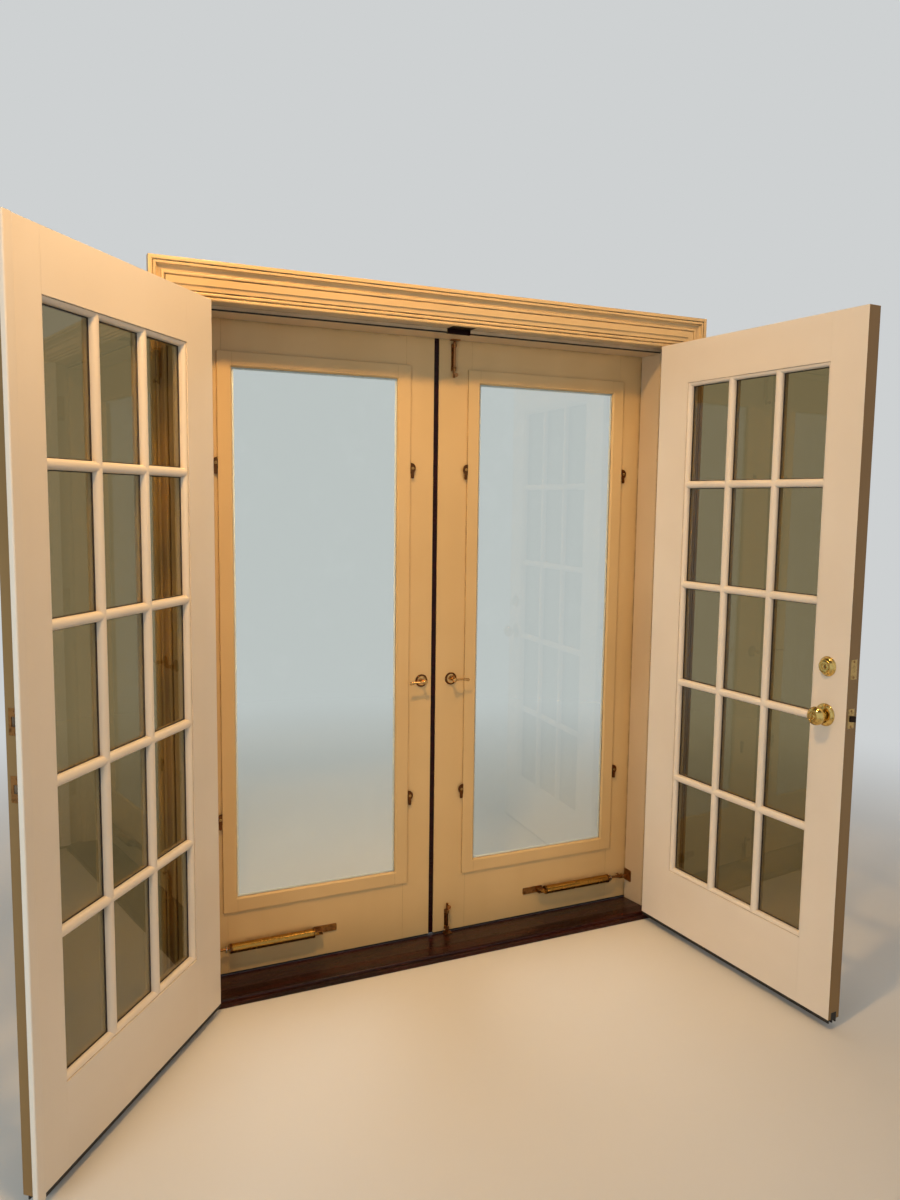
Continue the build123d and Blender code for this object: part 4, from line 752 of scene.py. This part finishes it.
def addArm(shape, start, along, outward):
    reach, length = leverLook["reach"], leverLook["length"]
    steps, sides = leverLook["armSteps"], leverLook["armSides"]
    rings = []
    for number in range(steps + 1):
        part = number / steps  # the arm narrows to a waist, flares again and rounds off at its tip
        x = -4 + (length + 4) * part
        wide = 4.8 - 1.9 * math.sin(math.pi * min(1, part * 1.15)) + 0.9 * max(0, part - 0.75) * 4
        thick = 3.7 - 1.2 * part
        lift = 1.6 * math.sin(math.pi * part) - 2.2 * part * part
        end = min(1.0, math.sqrt(max(0.0, 1 - max(0.0, (part - 0.93) / 0.07) ** 2)) + 0.02)
        ring = []
        for turn in range(sides):
            angle = 2 * math.pi * turn / sides
            ring.append(shape.verts.new((
                start[0] + along * x,
                start[1] + outward * (reach - 4.2 + thick * end * math.cos(angle)),
                start[2] + lift + wide * end * math.sin(angle),
            )))
        rings.append(ring)
    addRings(shape, rings)
    shape.faces.new(rings[0])
    shape.faces.new(rings[-1])


def makeLever(side):
    x, along = leverLook[side]
    shape = bmesh.new()
    neck = softened(leverLook["neck"], 2.2, 4)
    for face, outward in zip(leverLook["faces"], (-1, 1)):
        addTurned(shape, neck, placing((x, face, leverLook["height"]), (0, outward, 0)), 40)
        addArm(shape, (x, face, leverLook["height"]), along, outward)
    spindle = placing((x, leverLook["faces"][0], leverLook["height"]), (0, 1, 0), turn=45)
    addPlate(shape, box2d(7, 7, 0.6, 2), -6, 38, spindle)
    lever = makePiece(side + "StormLever", shape, finish["leverBrass"], f"storm_{side}_lever")
    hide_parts(f"storm_{side}_lever")


def makeLeverRings(side):  # a raised dark bead round each rose
    x = leverLook[side][0]
    shape = bmesh.new()
    bead = softened(leverLook["ring"], 0.9, 4)
    for face, outward in zip(leverLook["faces"], (-1, 1)):
        addTurned(shape, bead, placing((x, face, leverLook["height"]), (0, outward, 0)), 64)
    makePiece(side + "RoseRings", shape, finish["shadowBrass"], "storm_" + side)


# Trim on the closers: end beads and a vent screw

closerLook = {"y": 138.0, "z": 107.0, "radius": 15.0, "beads": ((440.5, 2.2), (707.5, 2.8), (711.5, 1.6)),
              "screwAt": (712.9, 128.5), "screw": [(0, 0), (2.6, 0), (2.6, 2.2), (1.8, 3.0), (0, 3.0)]}


def makeCloserTrim(side, hand):
    shape = bmesh.new()
    r = closerLook["radius"]
    for x, wide in closerLook["beads"]:  # wide: half the bead's width
        line = placing((hand * x, closerLook["y"], closerLook["z"]), (hand, 0, 0))
        bead = softened([(r - 0.3, -wide), (r + 0.7, -wide * 0.6), (r + 0.7, wide * 0.6), (r - 0.3, wide)], 0.5, 3)
        addTurned(shape, bead, line, 56)
    makePiece(side + "CloserBeads", shape, finish["shadowBrass"], f"storm_{side}_closer_tube")
    shape = bmesh.new()
    x, y = closerLook["screwAt"]
    tip = placing((hand * x, y, closerLook["z"]), (hand, 0, 0))
    addTurned(shape, softened(closerLook["screw"], 0.5, 3), tip, 24)
    makePiece(side + "CloserScrew", shape, finish["steel"], f"storm_{side}_closer_tube")


# Brush seals that close the gap over the sill, under the storm doors

doorSeal = {"from": 161.0, "to": 168.0, "top": 18.5, "foot": 12.0, "left": (-814, -21), "right": (-1, 814)}


def makeDoorSeal(side):
    shape = bmesh.new()
    start, end = doorSeal[side]
    line = placing((start, doorSeal["from"], doorSeal["foot"]), (1, 0, 0))
    wide, high = doorSeal["to"] - doorSeal["from"], doorSeal["top"] - doorSeal["foot"]
    outline = [(0, 0), (wide * 0.35, 0.4), (wide * 0.6, high * 0.5), (wide, high * 0.6), (wide, high), (0, high)]
    addPlate(shape, outline, 0, end - start, line, bevel=0.2)
    makePiece(side + "DoorSeal", shape, finish["rubber"], "storm_" + side)


# White strips round the storm doors' glass, on its outer face: partly a glazing strip, partly a painted highlight
# of the lit glazing edge

glassStrip = {"middle": (415.5, 1089.0), "half": (266.5, 825.0),
              "section": [(0, 164.05), (-6, 164.05), (-6, 165.65), (0, 168.05)]}


def makeGlassStrip(side, hand):
    shape = bmesh.new()
    x, z = glassStrip["middle"]
    addBorder(shape, (hand * x, z), glassStrip["half"], glassStrip["section"])
    makePiece(side + "GlassStrip", shape, finish["whiteStripAndHighlight"], "storm_" + side)


# The leaves' grids: a fine seam round each, and a dark line of painted shade round each pane

gridLook = {"left": 108.0, "right": 680.0, "low": 234.0, "high": 1928.0, "columns": 3, "rows": 5, "bar": 24.0,
            "seamFaces": ((3.0, (0, -1, 0)), (41.5, (0, 1, 0))), "seamWidth": 1.3, "seamIn": 0.7,
            # The last colour is the painted shade round each pane
            "glass": (20.0, 25.0), "line": 2.4, "thick": 0.9, "paneShade": (52, 40, 30)}


def addSeam(shape, start, end, normal, width):
    start, end, normal = Vector(start), Vector(end), Vector(normal)
    across = (end - start).normalized().cross(normal) * width / 2
    lift = normal * seamLook["proud"]
    edge = across * seamLook["topShare"]
    foot = [shape.verts.new(p) for p in (start - across, start + across, end + across, end - across)]
    top = [shape.verts.new(p + lift) for p in (start - edge, start + edge, end + edge, end - edge)]
    shape.faces.new(top)
    for number in range(4):
        after = (number + 1) % 4
        shape.faces.new((foot[number], foot[after], top[after], top[number]))


def makeLeafSeams(side, hand):
    shape = bmesh.new()
    left, right, low, high = (gridLook[key] for key in ("left", "right", "low", "high"))
    wide, inward = gridLook["seamWidth"], gridLook["seamIn"]
    for face, normal in gridLook["seamFaces"]:
        for x in (left + inward, right - inward):
            addSeam(shape, (hand * x, face, low), (hand * x, face, high), normal, wide)
        for z in (low + inward, high - inward):
            addSeam(shape, (hand * left, face, z), (hand * right, face, z), normal, wide)
    makePiece(side + "LeafSeams", shape, finish["leafSeam"], side + "_leaf", side)


# A dark border round each pane: painted shade at the glass's edge
def makePaneLines(side, hand):
    shape = bmesh.new()
    look = gridLook
    stepX = (look["right"] - look["left"]) / look["columns"]
    stepZ = (look["high"] - look["low"]) / look["rows"]
    half = (stepX / 2 - look["bar"] / 2, stepZ / 2 - look["bar"] / 2)
    wide, thick = look["line"], look["thick"]
    for number in range(look["columns"] * look["rows"]):
        row, column = divmod(number, look["columns"])
        middle = (hand * (look["left"] + (column + 0.5) * stepX), look["low"] + (row + 0.5) * stepZ)
        for face, outward in zip(look["glass"], (-1, 1)):
            top = face + outward * thick
            addBorder(shape, middle, half, [(0.4, face), (0.4, top), (-wide * 0.7, top), (-wide, face)])
    makePiece(side + "PaneLines", shape, finish["paneShade"], side + "_leaf", side)


# Hairline joints in the storm doors' paint, where one board meets the next

seamLook = {"width": 0.55, "proud": 0.05, "topShare": 0.6, "leaf": (186, 158, 122), "storm": (186, 142, 88),
            "frame": {"sides": (118, 713), "spans": ((18, 219), (1959, 2062)), "faces": ((158, -1), (190, 1))},
            "insert": {"sides": (149, 682), "spans": ((219, 264), (1914, 1959)), "faces": ((152, -1),)}}


def makeStormSeams(side, hand):
    shape = bmesh.new()
    for part in ("frame", "insert"):
        seams = seamLook[part]
        for x in seams["sides"]:
            for low, high in seams["spans"]:
                for y, out in seams["faces"]:
                    addSeam(shape, (hand * x, y, low), (hand * x, y, high), (0, out, 0), seamLook["width"])
    makePiece(side + "StormSeams", shape, finish["stormSeam"], "storm_" + side)


def makeDarkLinePaint(name, color):
    material, tree, surface, place = startMaterial(name)
    unevenDark = rampNode(tree, addNoise(tree, place, Scale=40.0, Detail=4.0), 0.35, 0.65)
    darker = tuple(value * 0.45 for value in srgb(*color))
    fill(tree, surface, {"Base Color": mixColor(tree, unevenDark, srgb(*color), darker), "Roughness": 0.7})
    return material


finish["leafSeam"] = makeDarkLinePaint("leafSeam", seamLook["leaf"])
finish["paneShade"] = makeDarkLinePaint("paintedPaneShade", gridLook["paneShade"])
finish["stormSeam"] = makeDarkLinePaint("stormSeam", seamLook["storm"])

makeCasing()
makeKnobs()
makeLockTrim()
makeLockScrews()
for side, swing in leafSwing.items():
    hand = swing["hand"]
    makeSideScrews(side, hand)
    makeLever(side)
    makeLeverRings(side)
    makeCloserTrim(side, hand)
    makeDoorSeal(side)
    makeGlassStrip(side, hand)
    makeLeafSeams(side, hand)
    makePaneLines(side, hand)
    makeStormSeams(side, hand)
print("lock, levers, screws and seams are in place")

# Floor, light and camera

stageLook = {"size": 30.0, "floor": (214, 209, 201), "backdrop": (206, 209, 210), "ceiling": (104, 94, 82),
             "ambient": 0.34, "fadeFrom": 1.5, "fadeTo": 4.2, "ceilingFrom": (0.5, 0.85)}


def seenPart(tree):  # 1 for what the eye, a reflection or the glass shows, 0 for light on the object
    ray = addNode(tree, "ShaderNodeLightPath").outputs
    seen = mathNode(tree, "MAXIMUM", ray["Is Camera Ray"], ray["Is Glossy Ray"])
    return mathNode(tree, "MAXIMUM", seen, ray["Is Transmission Ray"])


def makeFloor():
    material, tree, surface, place = startMaterial("paleFloor")
    speckle = addNoise(tree, place, Scale=3.0, Detail=4.0)
    floorColor = srgb(*stageLook["floor"])
    lighter = tuple(min(1.0, value * 1.04) for value in floorColor)
    fill(tree, surface, {"Base Color": mixColor(tree, speckle, floorColor, lighter), "Roughness": 0.6})
    away = addNode(tree, "ShaderNodeVectorMath", {0: place}, operation="LENGTH").outputs["Value"]
    fade = rampNode(tree, away, stageLook["fadeFrom"], stageLook["fadeTo"])
    distant = addNode(tree, "ShaderNodeEmission", {"Color": (*srgb(*stageLook["backdrop"]), 1)})
    blend = addNode(tree, "ShaderNodeMixShader", {0: mathNode(tree, "MULTIPLY", fade, seenPart(tree)),
                                                  1: surface.outputs[0], 2: distant.outputs[0]})
    fill(tree, tree.nodes["Material Output"], {"Surface": blend.outputs[0]})
    mesh = bpy.data.meshes.new("floor")
    half = stageLook["size"] / 2
    places = [(-half, -half, 0), (half, -half, 0), (half, half, 0), (-half, half, 0)]
    mesh.from_pydata(places, [], [(0, 1, 2, 3)])
    mesh.materials.append(material)
    floor = bpy.data.objects.new("floor", mesh)
    scene.collection.objects.link(floor)


def makeWorld():
    world = bpy.data.worlds.new("softRoom")
    world.use_nodes = True
    scene.world = world
    tree = world.node_tree
    place = addNode(tree, "ShaderNodeTexCoord").outputs["Generated"]
    parts = addNode(tree, "ShaderNodeSeparateXYZ", {0: place})
    seen = seenPart(tree)
    overhead = mathNode(tree, "MULTIPLY", rampNode(tree, parts.outputs["Z"], *stageLook["ceilingFrom"]), seen)
    color = mixColor(tree, overhead, srgb(*stageLook["backdrop"]), srgb(*stageLook["ceiling"]))
    strength = mathNode(tree, "MULTIPLY_ADD", seen, 1.0 - stageLook["ambient"], stageLook["ambient"])
    fill(tree, tree.nodes["Background"], {"Color": color, "Strength": strength})


lamps = {
    "key": {"at": (-0.95, -1.3, 3.25), "toward": (-0.3, 0, 1.2), "size": 0.22, "watts": 21.5,
            "color": (1.0, 0.6, 0.22), "spread": 115},
    "fill": {"at": (0.6, -4.2, 1.9), "toward": (0, 0, 1.0), "size": 2.4, "watts": 16,
             "color": (1.0, 0.98, 0.95), "mirrored": False},
    "side": {"at": (-3.2, -2.4, 1.2), "toward": (0.8, -0.4, 0.9), "size": 1.4, "watts": 42,
             "color": (0.78, 0.92, 1.0), "mirrored": False},
    "top": {"at": (0.72, -0.9, 3.2), "toward": (0.4, 0, 1.2), "size": 0.6, "watts": 13,
            "color": (1.0, 0.68, 0.36)},
    "outside": {"at": (0.8, 3.2, 2.6), "toward": (0, 0, 1.0), "size": 2.2, "watts": 48,
                "color": (0.9, 0.96, 1.0)},
}


def makeLamps():
    for name, spec in lamps.items():
        light = bpy.data.lights.new(name, "AREA")
        light.shape = "DISK"
        light.size = spec["size"]
        light.energy = spec["watts"]
        light.color = spec["color"]
        light.spread = math.radians(spec.get("spread", 180))
        holder = bpy.data.objects.new(name, light)
        holder.location = spec["at"]
        aim = Vector(spec["toward"]) - Vector(spec["at"])
        holder.rotation_euler = aim.to_track_quat("-Z", "Y").to_euler()
        holder.visible_camera = False
        holder.visible_transmission = False
        holder.visible_glossy = spec.get("mirrored", True)
        scene.collection.objects.link(holder)


view = {"at": (-1.268, -2.692, 1.521), "yaw": 24.78, "pitch": -6.03, "roll": 0.74, "lens": 27.861}


def makeCamera():
    camera = bpy.data.cameras.new("camera")
    camera.sensor_width, camera.sensor_fit = 36.0, "AUTO"
    camera.lens, camera.clip_start = view["lens"], 0.02
    holder = bpy.data.objects.new("camera", camera)
    yaw, pitch, roll = (math.radians(view[key]) for key in ("yaw", "pitch", "roll"))
    ahead = Vector((math.sin(yaw) * math.cos(pitch), math.cos(yaw) * math.cos(pitch), math.sin(pitch)))
    across = ahead.cross(Vector((0, 0, 1))).normalized()
    up = across.cross(ahead)
    rightward = across * math.cos(roll) + up * math.sin(roll)
    upward = up * math.cos(roll) - across * math.sin(roll)
    turn = Matrix((rightward, upward, -ahead)).transposed()
    holder.matrix_world = Matrix.Translation(Vector(view["at"])) @ turn.to_4x4()
    scene.collection.objects.link(holder)
    scene.camera = holder


makeFloor()
makeWorld()
makeLamps()
makeCamera()
scene.view_settings.view_transform = "Standard"
print("stage, lamps and camera are set")
